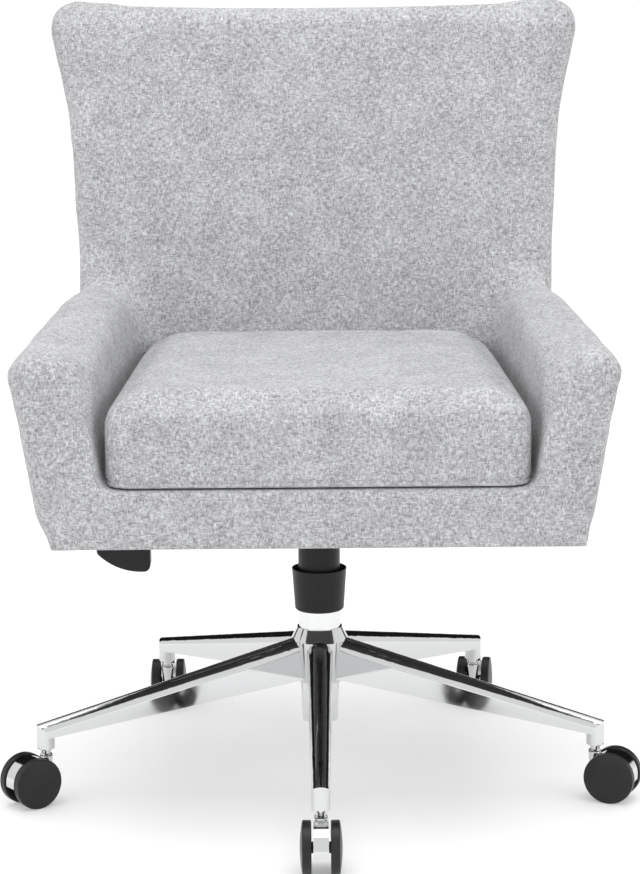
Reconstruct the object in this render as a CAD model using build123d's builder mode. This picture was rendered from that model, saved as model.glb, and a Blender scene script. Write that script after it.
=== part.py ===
from build123d import *
import math
import os

# Swivel office chair.  Millimetres, +Z up, -Y towards the front of the chair.
# The origin is on the floor, on the axis of the gas column.

os.makedirs("parts", exist_ok=True)

# ---------------------------------------------------------------- sizes that others follow
COLUMN_D = 50.0
CYLINDER_D = 28.0
WHEEL_D = 60.0
AXLE_D = 6.0

# ---------------------------------------------------------------- star base
LEG_COUNT = 5
FRONT_LEG_ANGLE = -90.0        # the first leg points to the front
STEM_CIRCLE_R = 340.0          # caster stems, from the column axis
SOCKET_D = 21.0
SOCKET_BOTTOM_Z = WHEEL_D + 6.0
LEG_W_HUB = 31.0
LEG_TOP_HUB_Z = 171.0
LEG_TOP_TIP_Z = SOCKET_BOTTOM_Z + 31.0
LEG_BOTTOM_HUB_Z = 121.0
LEG_BOTTOM_TIP_Z = SOCKET_BOTTOM_Z + 13.0
LEG_WALL = 3.0
HUB_R = COLUMN_D / 2 + 9.5
HUB_BOTTOM_R = COLUMN_D / 2 + 5.0
HUB_BOTTOM_Z = 118.0
HUB_SHOULDER_Z = 169.0
HUB_TOP_Z = 184.0
HUB_TOP_R = COLUMN_D / 2 + 2.0
HUB_CHAMFER = 1.5
LEG_OVERLAP = 8.0              # how far a leg's loft runs into the hub
HOLLOW_INSET = 10.0            # solid metal between the hub and a leg's hollow

# ---------------------------------------------------------------- gas lift
COLUMN_END_D = COLUMN_D - 7.0  # small end of the tapered lower part
COLUMN_BOTTOM_Z = 68.0
COLUMN_WALL = 2.0
COLUMN_FLOOR = 3.0
COLUMN_ABOVE_HUB = 31.0
CYLINDER_WALL = 2.0
CYLINDER_TIP_D = CYLINDER_D - 1.6
CYLINDER_TAPER_L = 45.0
GLAND_L = 12.0
ROD_D = 10.0
ROD_END_D = 8.0
PISTON_L = 12.0
BUFFER_L = 8.0
BUFFER_D = CYLINDER_D - 3.0
BUSH_IN_HUB = 33.0             # length of the guide bush below the hub's top
BEARING_BALL_D = 2.6
BEARING_BALLS = 10
BEARING_WASHER_T = 1.0
BEARING_WASHER_R = 14.0
CLIP_T = 1.5
LIFT_TRAVEL = 70.0
RUN = 0.05                     # radial running clearance
GAP = 0.3                      # clearance between faces that move past each other

# ---------------------------------------------------------------- column cover
CUP_BOTTOM_D = COLUMN_D + 8.6
CUP_TOP_D = COLUMN_D + 15.4
CUP_L = 50.5
CUP_WALL = 1.5
CUP_GRIP_L = 8.5               # length of the cup that grips the column
CUP_BELOW_COLUMN_TOP = 9.5
SLEEVE_D = COLUMN_D + 6.0
SLEEVE_WALL = 1.5
TOP_TUBE_D = COLUMN_D
TOP_TUBE_WALL = 1.5
TOP_TUBE_END_T = 2.0
SLEEVE_REST = 1.5              # bottom of the sleeve above the column's top
SLEEVE_BELOW_CUP = 1.0
TOP_TUBE_REST = 2.8            # bottom of the top tube above the column's top
TOP_TUBE_BELOW_MECH = 0.5
CUP_CHAMFER = 1.5

# ---------------------------------------------------------------- casters
WHEEL_RIM_W = 10.2
WHEEL_CROWN = 2.6
WHEEL_GAP = 2.4                # rim to hood
WHEEL_HUB_WALL = 3.5
WHEEL_RECESS_DEPTH = 5.0
WHEEL_RECESS_INSET = 2.5       # from the hub, and from the rim's chamfer
WHEEL_RIM_T = 5.0
WHEEL_RIM_CHAMFER = 1.2
WHEEL_SHOULDER = 1.7           # width of the ring round the crowned face
HOOD_W = 16.6
HOOD_R = WHEEL_D / 2 - 1.5
HOOD_SKIN = 2.5
HOOD_WEB = 5.0
HOOD_TOP_Z = WHEEL_D - 2.8
HOOD_LIP_ANGLE = -8.0          # where the hood ends, from the level line
HOOD_ARC = 136.0
HOOD_FOOT = 8.0                # the web's reach below the axle
BOSS_INSET = 0.4
BOSS_DRAFT = 5.0
BOSS_ROUND = 1.2
AXLE_BOSS_R = AXLE_D / 2 + 3.5
WELD = 1.0                     # overlap of shapes that are one piece
TRAIL = 22.0
STEM_D = 11.0
STEM_LENGTH_IN_SOCKET = 20.0
STEM_PIVOT_D = 8.0
STEM_PIVOT_L = 17.0
STEM_COLLAR_D = 15.0
STEM_NECK = 3.0                # collar and shoulder, each along the stem
STEM_CHAMFER = 1.0
AXLE_IN_WHEEL = 7.0
AXLE_CHAMFER = 0.4
CASTERS = {                    # name: heading of the trailing side at rest, degrees
    "front": -90.0,
    "front_right": -22.0,
    "rear_right": 82.0,
    "rear_left": 90.0,
    "front_left": 217.0,
}

# ---------------------------------------------------------------- tilt mechanism
SHELL_BOTTOM_Z = 344.0         # underside of the dust cover
DUST_COVER_T = 1.0
MECH_FLOOR_Z = 288.0
MECH_HALF_W = 55.0
MECH_PLATE = 2.5
MECH_FRONT_Y = -62.0
MECH_REAR_Y = 88.0
MECH_REAR_H = 22.0
MECH_NOSE_L = 30.0             # the sloping nose, along Y
MECH_NOSE_H = 12.0
MECH_PIVOT_REAR = 15.0         # full-height cheek behind the tilt axle
MECH_STOP_H = 4.5              # stop pad between the housing and the seat plate
STOP_PAD_X = 77.0
STOP_PAD_Y = 10.0
SOCKET_TUBE_R = CYLINDER_D / 2 + 5.0
SOCKET_TUBE_IN_MECH = 19.0     # height of the tube above the housing's floor
TILT_AXLE_D = 12.0
TILT_AXLE_Y = -45.0
TILT_AXLE_BELOW_PLATE = 17.5
TILT_AXLE_CHAMFER = 0.8
TILT_BUSH_WALL = 2.0
TILT_BUSH_FLANGE = 3.0
TILT_CLIP_W = 3.0
SEAT_PLATE_X = 160.0
SEAT_PLATE_Y = 220.0
SEAT_PLATE_CORNER = 12.0
EAR_GAP = 3.0
EAR_L = 34.0
EAR_DROP = 13.0
EAR_FOOT = 6.0                 # half length of the ear's lower edge
EAR_SIDE = 3.0
BOLT_D = 6.0
BOLT_HOLE_D = 6.6
BOLT_HEAD_D = 12.0
BOLT_HEAD_T = 4.0
TEE_FLANGE_D = 20.0
TEE_FLANGE_T = 1.5
TEE_BARREL_D = 8.0
TEE_BARREL_L = 12.0
BOLT_SPACING_X = 130.0
BOLT_SPACING_Y = 180.0
SPRING_X = 28.0
SPRING_Y = 50.0
SPRING_R = 11.0
SPRING_WIRE_D = 4.0
SPRING_TURNS = 6
SPRING_SLACK = 0.05            # so that the turns never cut the plates
BUTTON_D = 6.0
BUTTON_PROUD = 5.0
BUTTON_TRAVEL = 4.0
BUTTON_BORE_L = 26.0
BUTTON_FOOT_GAP = 1.0
BUTTON_CHAMFER = 0.6
LEVER_ROD_D = 8.0
LEVER_Y = 0.0
LEVER_BALL_D = 14.8
LEVER_BALL_W = 11.0
LEVER_BALL_GAP = 0.1
LEVER_BEND_R = 30.0
LEVER_INNER_X = 18.0
LEVER_BEND_X = -80.0
LEVER_END_X = -240.0
LEVER_END_Z = 283.0
HANDLE_INNER_X = -202.0
HANDLE_OUTER_X = -266.0
HANDLE_BOTTOM_Z = 255.0
HANDLE_W = 30.0
HANDLE_ROUND = 3.0
HANDLE_HEEL = 10.0             # flat at the inner end of the underside
HANDLE_HEEL_R = 8.0
HANDLE_TOP_RISE = 18.0         # top edge above the rod's end, inner end
HANDLE_TIP_RISE = 9.0          # and outer end
HANDLE_NOSE_R = 7.0
HANDLE_BELLY_X = 42.0
HANDLE_BELLY_Z = 7.0

# ---------------------------------------------------------------- seat
SEAT_FRONT_Y = -280.0
SEAT_DECK_Z = 411.0            # top of the deck pad, under the cushion
SEAT_BOARD_T = 15.0
SEAT_BOARD_X = 420.0
SEAT_BOARD_FRONT_Y = -255.0
SEAT_BOARD_REAR_Y = 165.0
SEAT_BOARD_CORNER = 25.0
DUST_INSET = 14.0
DUST_OPENING_GAP = 2.0
INNER_HALF_FRONT = 239.0       # between the arms, at the front
INNER_HALF_REAR = 217.0        # and where the arms meet the back
CUSHION_TOP_Z = 506.0
CUSHION_GAP = 2.5
CUSHION_ROUND = 24.0
CUSHION_TOP_ROUND = 20.0
CUSHION_SET_BACK = 3.0

# ---------------------------------------------------------------- arms
ARM_TOP_FRONT_Z = 552.0
ARM_TOP_REAR_Z = 568.0
ARM_BOTTOM_HALF_FRONT = 296.0
ARM_BOTTOM_HALF_REAR = 279.0
ARM_TOP_HALF_FRONT = 329.0
ARM_TOP_HALF_REAR = 301.0
ARM_TOP_W = 66.0
ARM_ROUND = 16.0
ARM_BOARD_T = 15.0
ARM_BOARD_LOW = 32.0           # panel's edges in from the arm's
ARM_BOARD_HIGH = 40.0
ARM_BOARD_FRONT = 40.0
ARM_BOARD_REAR = 60.0
ARM_INTO_BACK = 10.0           # loft length past the back's face, before it is cut

# ---------------------------------------------------------------- back
BACK_SEAT_Y = 217.0            # front face of the back, at BACK_SEAT_Z
BACK_SEAT_Z = 480.0
BACK_RECLINE = 10.8
BACK_T = 70.0
BACK_WAIST_HALF = 300.0
BACK_WAIST_Z = 612.0
BACK_TOP_HALF = 326.0
BACK_TOP_Z = 905.0             # middle of the top edge
BACK_CORNER_RISE = 7.0         # the top edge is lowest in the middle
BACK_CORNER_R = 32.0
BACK_FRAME_T = 18.0
BACK_FRAME_RAIL = 60.0
BACK_FRAME_INSET = 30.0
BACK_FRAME_TOP_INSET = 40.0
BACK_FRAME_CORNER = 15.0
BACK_PANEL_T = 2.0
BACK_FOOT_INSET = 3.0
WEBBING_T = 1.5
WEBBING_ROWS = 4
WEBBING_SHARE = 0.6            # band width over the rows' spacing


# ---------------------------------------------------------------- derived places
HUB_BORE_TOP_R = COLUMN_D / 2
COLUMN_TOP_Z = HUB_TOP_Z + COLUMN_ABOVE_HUB
COLUMN_FLOOR_Z = COLUMN_BOTTOM_Z + COLUMN_FLOOR
BEARING_L = 2 * BEARING_WASHER_T + BEARING_BALL_D
BUFFER_BOTTOM_Z = COLUMN_FLOOR_Z + BEARING_L + GAP
CYLINDER_BOTTOM_Z = BUFFER_BOTTOM_Z + BUFFER_L + GAP
CYLINDER_TOP_Z = MECH_FLOOR_Z + SOCKET_TUBE_IN_MECH
CYLINDER_SHOULDER_Z = CYLINDER_TOP_Z - CYLINDER_TAPER_L
BUTTON_TOP_Z = CYLINDER_TOP_Z + BUTTON_PROUD
LEVER_Z = BUTTON_TOP_Z + GAP + LEVER_ROD_D / 2
CUP_BOTTOM_Z = COLUMN_TOP_Z - CUP_BELOW_COLUMN_TOP
CUP_TOP_Z = CUP_BOTTOM_Z + CUP_L
SEAT_PLATE_TOP_Z = SHELL_BOTTOM_Z + DUST_COVER_T
SEAT_PLATE_Z = SEAT_PLATE_TOP_Z - MECH_PLATE
TILT_AXLE_Z = SEAT_PLATE_Z - TILT_AXLE_BELOW_PLATE
FOAM_BOTTOM_Z = SEAT_PLATE_TOP_Z
BOARD_TOP_Z = FOAM_BOTTOM_Z + SEAT_BOARD_T

QUARTER_MID = 1 - math.cos(math.radians(45))    # a quarter arc's middle, from its sides
RECLINE_RAD = math.radians(BACK_RECLINE)
BACK_FORWARD = Vector(0, -math.cos(RECLINE_RAD), math.sin(RECLINE_RAD))
BACK_FACE = Plane(origin=(0, BACK_SEAT_Y, BACK_SEAT_Z), x_dir=(1, 0, 0), z_dir=BACK_FORWARD)


def save(piece, name):
    """Label a finished piece and write its STEP file."""
    piece.part.label = name
    export_step(piece.part, f"parts/{name}.step")


def between(a, b, t):
    return a + (b - a) * t


# ================================================================ star base
LEG_ROOT_R = HUB_BOTTOM_R - LEG_OVERLAP


def leg_size(r):
    """Width, bottom and top of a leg's section at radius r."""
    t = (r - HUB_R) / (STEM_CIRCLE_R - HUB_R)
    width = between(LEG_W_HUB, SOCKET_D, t)
    bottom = between(LEG_BOTTOM_HUB_Z, LEG_BOTTOM_TIP_Z, t)
    top = between(LEG_TOP_HUB_Z, LEG_TOP_TIP_Z, t)
    return width, bottom, top


def leg_section(r, wall=0.0):
    """Arched section of a leg that points along +X; wall > 0 gives its sealed hollow."""
    width, bottom, top = leg_size(r)
    half = width / 2 - wall
    crown = top - wall
    spring = crown - half
    floor = bottom + wall
    with BuildSketch(Plane(origin=(r, 0, 0), x_dir=(0, 1, 0), z_dir=(1, 0, 0))) as section:
        with BuildLine():
            Line((-half, floor), (-half, spring))
            ThreePointArc((-half, spring), (0, crown), (half, spring))
            Line((half, spring), (half, floor))
            Line((half, floor), (-half, floor))
        make_face()
    return section.sketch


with BuildPart() as base_hub:
    with BuildSketch(Plane.XZ):
        with BuildLine():
            Polyline(
                (0, HUB_BOTTOM_Z),
                (HUB_BOTTOM_R - HUB_CHAMFER, HUB_BOTTOM_Z),
                (HUB_BOTTOM_R, HUB_BOTTOM_Z + HUB_CHAMFER),
                (HUB_R, HUB_SHOULDER_Z),
                (HUB_TOP_R, HUB_TOP_Z),
                (0, HUB_TOP_Z),
                close=True,
            )
        make_face()
    revolve(axis=Axis.Z)

HOLLOW_END_R = STEM_CIRCLE_R - SOCKET_D / 2 - LEG_WALL
with BuildPart() as leg_hollow:
    loft([leg_section(HUB_R + HOLLOW_INSET, LEG_WALL), leg_section(HOLLOW_END_R, LEG_WALL)])

with BuildPart() as leg_end:
    loft([leg_section(STEM_CIRCLE_R - SOCKET_D), leg_section(STEM_CIRCLE_R + SOCKET_D)])
    with BuildSketch(Plane.XY.offset(SOCKET_BOTTOM_Z)):
        with Locations((STEM_CIRCLE_R, 0)):
            Circle(SOCKET_D / 2)
    extrude(amount=LEG_TOP_HUB_Z - SOCKET_BOTTOM_Z, mode=Mode.INTERSECT)

with BuildPart() as leg:
    loft([leg_section(LEG_ROOT_R), leg_section(STEM_CIRCLE_R)])
    add(leg_end.part)
    with BuildSketch(Plane.XY.offset(SOCKET_BOTTOM_Z)):
        with Locations((STEM_CIRCLE_R, 0)):
            Circle(SOCKET_D / 2)
    extrude(amount=LEG_BOTTOM_TIP_Z - SOCKET_BOTTOM_Z + LEG_WALL)
    add(leg_hollow.part, mode=Mode.SUBTRACT)
    with BuildSketch(Plane.XY.offset(SOCKET_BOTTOM_Z)):
        with Locations((STEM_CIRCLE_R, 0)):
            Circle(STEM_D / 2)
    extrude(amount=STEM_LENGTH_IN_SOCKET, mode=Mode.SUBTRACT)
    add(base_hub.part, mode=Mode.SUBTRACT)

with BuildPart() as base_legs:
    with PolarLocations(0, LEG_COUNT, start_angle=FRONT_LEG_ANGLE):
        add(leg.part)
save(base_legs, "base_legs")

# tapered bore for the column, open at both ends
with BuildPart() as bored_hub:
    add(base_hub.part)
    with BuildSketch(Plane.XZ):
        with BuildLine():
            Polyline(
                (0, COLUMN_BOTTOM_Z),
                (COLUMN_END_D / 2, COLUMN_BOTTOM_Z),
                (HUB_BORE_TOP_R, HUB_TOP_Z),
                (0, HUB_TOP_Z),
                close=True,
            )
        make_face()
    revolve(axis=Axis.Z, mode=Mode.SUBTRACT)
save(bored_hub, "base_hub")

# ================================================================ column and gas lift
with BuildPart() as column_tube:
    with BuildSketch(Plane.XZ):
        with BuildLine():
            Polyline(
                (ROD_END_D / 2 + GAP, COLUMN_BOTTOM_Z),
                (COLUMN_END_D / 2, COLUMN_BOTTOM_Z),
                (COLUMN_D / 2, HUB_TOP_Z),
                (COLUMN_D / 2, COLUMN_TOP_Z),
                (COLUMN_D / 2 - COLUMN_WALL, COLUMN_TOP_Z),
                (COLUMN_D / 2 - COLUMN_WALL, HUB_TOP_Z),
                (COLUMN_END_D / 2 - COLUMN_WALL, COLUMN_FLOOR_Z),
                (ROD_END_D / 2 + GAP, COLUMN_FLOOR_Z),
                close=True,
            )
        make_face()
    revolve(axis=Axis.Z)
save(column_tube, "column_tube")

# The bush fills the straight and the tapered stretch of the tube's inside.
BUSH_BOTTOM_Z = HUB_TOP_Z - BUSH_IN_HUB
TUBE_INNER_SLOPE = (COLUMN_D - COLUMN_END_D) / 2 / (HUB_TOP_Z - COLUMN_FLOOR_Z)
BUSH_BOTTOM_R = COLUMN_D / 2 - COLUMN_WALL - BUSH_IN_HUB * TUBE_INNER_SLOPE
with BuildPart() as column_guide_bush:
    with BuildSketch(Plane.XZ):
        with BuildLine():
            Polyline(
                (CYLINDER_D / 2 + RUN, BUSH_BOTTOM_Z),
                (BUSH_BOTTOM_R, BUSH_BOTTOM_Z),
                (COLUMN_D / 2 - COLUMN_WALL, HUB_TOP_Z),
                (COLUMN_D / 2 - COLUMN_WALL, COLUMN_TOP_Z),
                (CYLINDER_D / 2 + RUN, COLUMN_TOP_Z),
                close=True,
            )
        make_face()
    revolve(axis=Axis.Z)
save(column_guide_bush, "column_guide_bush")

with BuildPart() as thrust_bearing:
    for washer_z in (COLUMN_FLOOR_Z, COLUMN_FLOOR_Z + BEARING_L - BEARING_WASHER_T):
        with BuildSketch(Plane.XY.offset(washer_z)):
            Circle(BEARING_WASHER_R)
            Circle(ROD_D / 2 + GAP, mode=Mode.SUBTRACT)
        extrude(amount=BEARING_WASHER_T)
    with Locations(Location((0, 0, COLUMN_FLOOR_Z + BEARING_L / 2))):
        with PolarLocations((BEARING_WASHER_R + ROD_D / 2) / 2, BEARING_BALLS):
            Sphere(BEARING_BALL_D / 2)
save(thrust_bearing, "thrust_bearing")

with BuildPart() as retaining_clip:
    with BuildSketch(Plane.XY.offset(COLUMN_BOTTOM_Z - GAP)):
        Circle(ROD_END_D)
        Circle(ROD_END_D / 2, mode=Mode.SUBTRACT)
    extrude(amount=-CLIP_T)
save(retaining_clip, "retaining_clip")

# At full height the piston rests just above the cylinder's gland.
PISTON_BOTTOM_Z = CYLINDER_BOTTOM_Z + GLAND_L + LIFT_TRAVEL + GAP
ROD_FOOT_Z = COLUMN_BOTTOM_Z - GAP - 2 * CLIP_T
with BuildPart() as piston_rod:
    with BuildSketch(Plane.XZ):
        with BuildLine():
            Polyline(
                (0, ROD_FOOT_Z),
                (ROD_END_D / 2, ROD_FOOT_Z),
                (ROD_END_D / 2, COLUMN_FLOOR_Z + GAP),
                (ROD_D / 2, COLUMN_FLOOR_Z + GAP),
                (ROD_D / 2, PISTON_BOTTOM_Z),
                (CYLINDER_D / 2 - CYLINDER_WALL - RUN, PISTON_BOTTOM_Z),
                (CYLINDER_D / 2 - CYLINDER_WALL - RUN, PISTON_BOTTOM_Z + PISTON_L),
                (0, PISTON_BOTTOM_Z + PISTON_L),
                close=True,
            )
        make_face()
    revolve(axis=Axis.Z)
save(piston_rod, "piston_rod")

with BuildPart() as rubber_buffer:
    with BuildSketch(Plane.XY.offset(BUFFER_BOTTOM_Z)):
        Circle(BUFFER_D / 2)
        Circle(ROD_D / 2, mode=Mode.SUBTRACT)
    extrude(amount=BUFFER_L)
save(rubber_buffer, "rubber_buffer")

BUTTON_BORE_BOTTOM_Z = CYLINDER_TOP_Z - BUTTON_BORE_L
CYLINDER_CAVITY_R = CYLINDER_D / 2 - CYLINDER_WALL
with BuildPart() as gas_cylinder:
    with BuildSketch(Plane.XZ):
        with BuildLine():
            Polyline(
                (ROD_D / 2 + RUN, CYLINDER_BOTTOM_Z),
                (CYLINDER_D / 2, CYLINDER_BOTTOM_Z),
                (CYLINDER_D / 2, CYLINDER_SHOULDER_Z),
                (CYLINDER_TIP_D / 2, CYLINDER_TOP_Z),
                (BUTTON_D / 2 + RUN, CYLINDER_TOP_Z),
                (BUTTON_D / 2 + RUN, BUTTON_BORE_BOTTOM_Z),
                (0, BUTTON_BORE_BOTTOM_Z),
                (0, CYLINDER_SHOULDER_Z),
                (CYLINDER_CAVITY_R, CYLINDER_SHOULDER_Z),
                (CYLINDER_CAVITY_R, CYLINDER_BOTTOM_Z + GLAND_L),
                (ROD_D / 2 + RUN, CYLINDER_BOTTOM_Z + GLAND_L),
                close=True,
            )
        make_face()
    revolve(axis=Axis.Z)
save(gas_cylinder, "gas_cylinder")

BUTTON_FOOT_Z = BUTTON_BORE_BOTTOM_Z + BUTTON_TRAVEL + BUTTON_FOOT_GAP
with BuildPart() as release_button:
    with BuildSketch(Plane.XY.offset(BUTTON_FOOT_Z)):
        Circle(BUTTON_D / 2)
    extrude(amount=BUTTON_TOP_Z - BUTTON_FOOT_Z)
    chamfer(release_button.edges().group_by(Axis.Z)[-1], BUTTON_CHAMFER)
save(release_button, "release_button")

# ================================================================ column cover
CUP_FLOOR_TOP_Z = CUP_BOTTOM_Z + CUP_GRIP_L


def cup_radius(z):
    return between(CUP_BOTTOM_D / 2, CUP_TOP_D / 2, (z - CUP_BOTTOM_Z) / CUP_L)


with BuildPart() as cover_cup:
    with BuildSketch(Plane.XZ):
        with BuildLine():
            Polyline(
                (COLUMN_D / 2, CUP_BOTTOM_Z),
                (CUP_BOTTOM_D / 2 - CUP_CHAMFER, CUP_BOTTOM_Z),
                (CUP_BOTTOM_D / 2, CUP_BOTTOM_Z + CUP_CHAMFER),
                (CUP_TOP_D / 2, CUP_TOP_Z),
                (CUP_TOP_D / 2 - CUP_WALL, CUP_TOP_Z),
                (cup_radius(CUP_FLOOR_TOP_Z) - CUP_WALL, CUP_FLOOR_TOP_Z),
                (COLUMN_D / 2, CUP_FLOOR_TOP_Z),
                close=True,
            )
        make_face()
    revolve(axis=Axis.Z)
save(cover_cup, "cover_cup")

SLEEVE_BOTTOM_Z = COLUMN_TOP_Z + SLEEVE_REST
SLEEVE_TOP_Z = CUP_TOP_Z - SLEEVE_BELOW_CUP
with BuildPart() as cover_middle_sleeve:
    with BuildSketch(Plane.XY.offset(SLEEVE_BOTTOM_Z)):
        Circle(SLEEVE_D / 2)
        Circle(SLEEVE_D / 2 - SLEEVE_WALL, mode=Mode.SUBTRACT)
    extrude(amount=SLEEVE_TOP_Z - SLEEVE_BOTTOM_Z)
save(cover_middle_sleeve, "cover_middle_sleeve")

TOP_TUBE_BOTTOM_Z = COLUMN_TOP_Z + TOP_TUBE_REST
TOP_TUBE_TOP_Z = MECH_FLOOR_Z - TOP_TUBE_BELOW_MECH
with BuildPart() as cover_top_tube:
    with BuildSketch(Plane.XY.offset(TOP_TUBE_BOTTOM_Z)):
        Circle(TOP_TUBE_D / 2)
    extrude(amount=TOP_TUBE_TOP_Z - TOP_TUBE_BOTTOM_Z)
    with BuildSketch(Plane.XY.offset(TOP_TUBE_BOTTOM_Z)):
        Circle(TOP_TUBE_D / 2 - TOP_TUBE_WALL)
    extrude(amount=TOP_TUBE_TOP_Z - TOP_TUBE_BOTTOM_Z - TOP_TUBE_END_T, mode=Mode.SUBTRACT)
    with BuildSketch(Plane.XY.offset(TOP_TUBE_BOTTOM_Z)):
        Circle(SOCKET_TUBE_R)
    extrude(amount=TOP_TUBE_TOP_Z - TOP_TUBE_BOTTOM_Z, mode=Mode.SUBTRACT)
save(cover_top_tube, "cover_top_tube")

# ================================================================ casters
WHEEL_R = WHEEL_D / 2
WHEEL_INNER = HOOD_W / 2 + WHEEL_GAP      # rim's inner face, from the hood's middle
AXLE_HALF = WHEEL_INNER + AXLE_IN_WHEEL
STEM_COLLAR_BOTTOM_Z = HOOD_TOP_Z + GAP

with BuildPart() as caster_stem:
    with BuildSketch(Plane.XZ):
        with BuildLine():
            Polyline(
                (0, STEM_COLLAR_BOTTOM_Z - STEM_PIVOT_L),
                (STEM_PIVOT_D / 2, STEM_COLLAR_BOTTOM_Z - STEM_PIVOT_L),
                (STEM_PIVOT_D / 2, STEM_COLLAR_BOTTOM_Z),
                (STEM_COLLAR_D / 2 - STEM_CHAMFER, STEM_COLLAR_BOTTOM_Z),
                (STEM_COLLAR_D / 2, STEM_COLLAR_BOTTOM_Z + STEM_CHAMFER),
                (STEM_D / 2, STEM_COLLAR_BOTTOM_Z + STEM_NECK),
                (STEM_D / 2, SOCKET_BOTTOM_Z - STEM_NECK),
                (STEM_COLLAR_D / 2, SOCKET_BOTTOM_Z - STEM_NECK + STEM_CHAMFER),
                (STEM_COLLAR_D / 2, SOCKET_BOTTOM_Z),
                (STEM_D / 2, SOCKET_BOTTOM_Z),
                (STEM_D / 2, SOCKET_BOTTOM_Z + STEM_LENGTH_IN_SOCKET - STEM_CHAMFER),
                (STEM_D / 2 - STEM_CHAMFER, SOCKET_BOTTOM_Z + STEM_LENGTH_IN_SOCKET),
                (0, SOCKET_BOTTOM_Z + STEM_LENGTH_IN_SOCKET),
                close=True,
            )
        make_face()
    revolve(axis=Axis.Z)

with BuildPart() as caster_stems:
    with PolarLocations(STEM_CIRCLE_R, LEG_COUNT, start_angle=FRONT_LEG_ANGLE):
        add(caster_stem.part)
save(caster_stems, "caster_stems")


def caster_frame(index, heading):
    """Stem foot on the floor, axle centre, and the side plane of one caster."""
    leg_angle = math.radians(FRONT_LEG_ANGLE + index * 360.0 / LEG_COUNT)
    stem = Vector(STEM_CIRCLE_R * math.cos(leg_angle), STEM_CIRCLE_R * math.sin(leg_angle), 0)
    along = Vector(math.cos(math.radians(heading)), math.sin(math.radians(heading)), 0)
    across = Vector(along.Y, -along.X, 0)
    centre = stem + along * TRAIL + Vector(0, 0, WHEEL_R)
    side = Plane(origin=centre, x_dir=along, z_dir=across)
    return stem, side


def build_hood(name, stem, side):
    lip = math.radians(HOOD_LIP_ANGLE)
    inner_r = HOOD_R - HOOD_SKIN
    boss_top = HOOD_TOP_Z - WHEEL_R
    boss_r = HOOD_W / 2 - BOSS_INSET
    web_r = inner_r + WELD
    tip = math.radians(HOOD_LIP_ANGLE + HOOD_ARC)
    with BuildPart() as hood:
        # curved skin over the wheels' middle, from the lip to the stem boss
        with BuildSketch(side):
            with BuildLine():
                outer = CenterArc((0, 0), HOOD_R, HOOD_LIP_ANGLE, HOOD_ARC)
                inner = CenterArc((0, 0), inner_r, HOOD_LIP_ANGLE, HOOD_ARC)
                Line(outer @ 0, inner @ 0)
                Line(outer @ 1, inner @ 1)
            make_face()
        extrude(amount=HOOD_W / 2, both=True)
        # web that ties the skin, the axle boss and the stem boss together
        with BuildSketch(side):
            with BuildLine():
                CenterArc((0, 0), web_r, HOOD_LIP_ANGLE, HOOD_ARC)
                Polyline(
                    (web_r * math.cos(tip), web_r * math.sin(tip)),
                    (-TRAIL, boss_top - 2 * WELD),
                    (-TRAIL, 0),
                    (-AXLE_D, -HOOD_FOOT),
                    (AXLE_D, -HOOD_FOOT),
                    (web_r * math.cos(lip), web_r * math.sin(lip)),
                )
            make_face()
        extrude(amount=HOOD_WEB / 2, both=True)
        with BuildSketch(side):
            Circle(AXLE_BOSS_R)
        extrude(amount=HOOD_W / 2, both=True)
        with BuildSketch(Plane(origin=(stem.X, stem.Y, HOOD_TOP_Z), z_dir=(0, 0, -1))):
            Circle(boss_r)
        extrude(amount=HOOD_TOP_Z - WHEEL_R + AXLE_D / 2, taper=BOSS_DRAFT)
        fillet(hood.edges().group_by(Axis.Z)[-1].sort_by(SortBy.LENGTH)[-1:], BOSS_ROUND)
        # blind bore for the stem, through bore for the axle
        with BuildSketch(Plane(origin=(stem.X, stem.Y, HOOD_TOP_Z), z_dir=(0, 0, -1))):
            Circle(STEM_PIVOT_D / 2 + RUN)
        extrude(amount=STEM_PIVOT_L + GAP, mode=Mode.SUBTRACT)
        with BuildSketch(side):
            Circle(AXLE_D / 2)
        extrude(amount=HOOD_W, both=True, mode=Mode.SUBTRACT)
    save(hood, name + "_hood")


def build_axle(name, side):
    with BuildPart() as axle:
        with BuildSketch(side):
            Circle(AXLE_D / 2)
        extrude(amount=AXLE_HALF, both=True)
        chamfer(axle.edges(), AXLE_CHAMFER)
    save(axle, name + "_axle")


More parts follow.
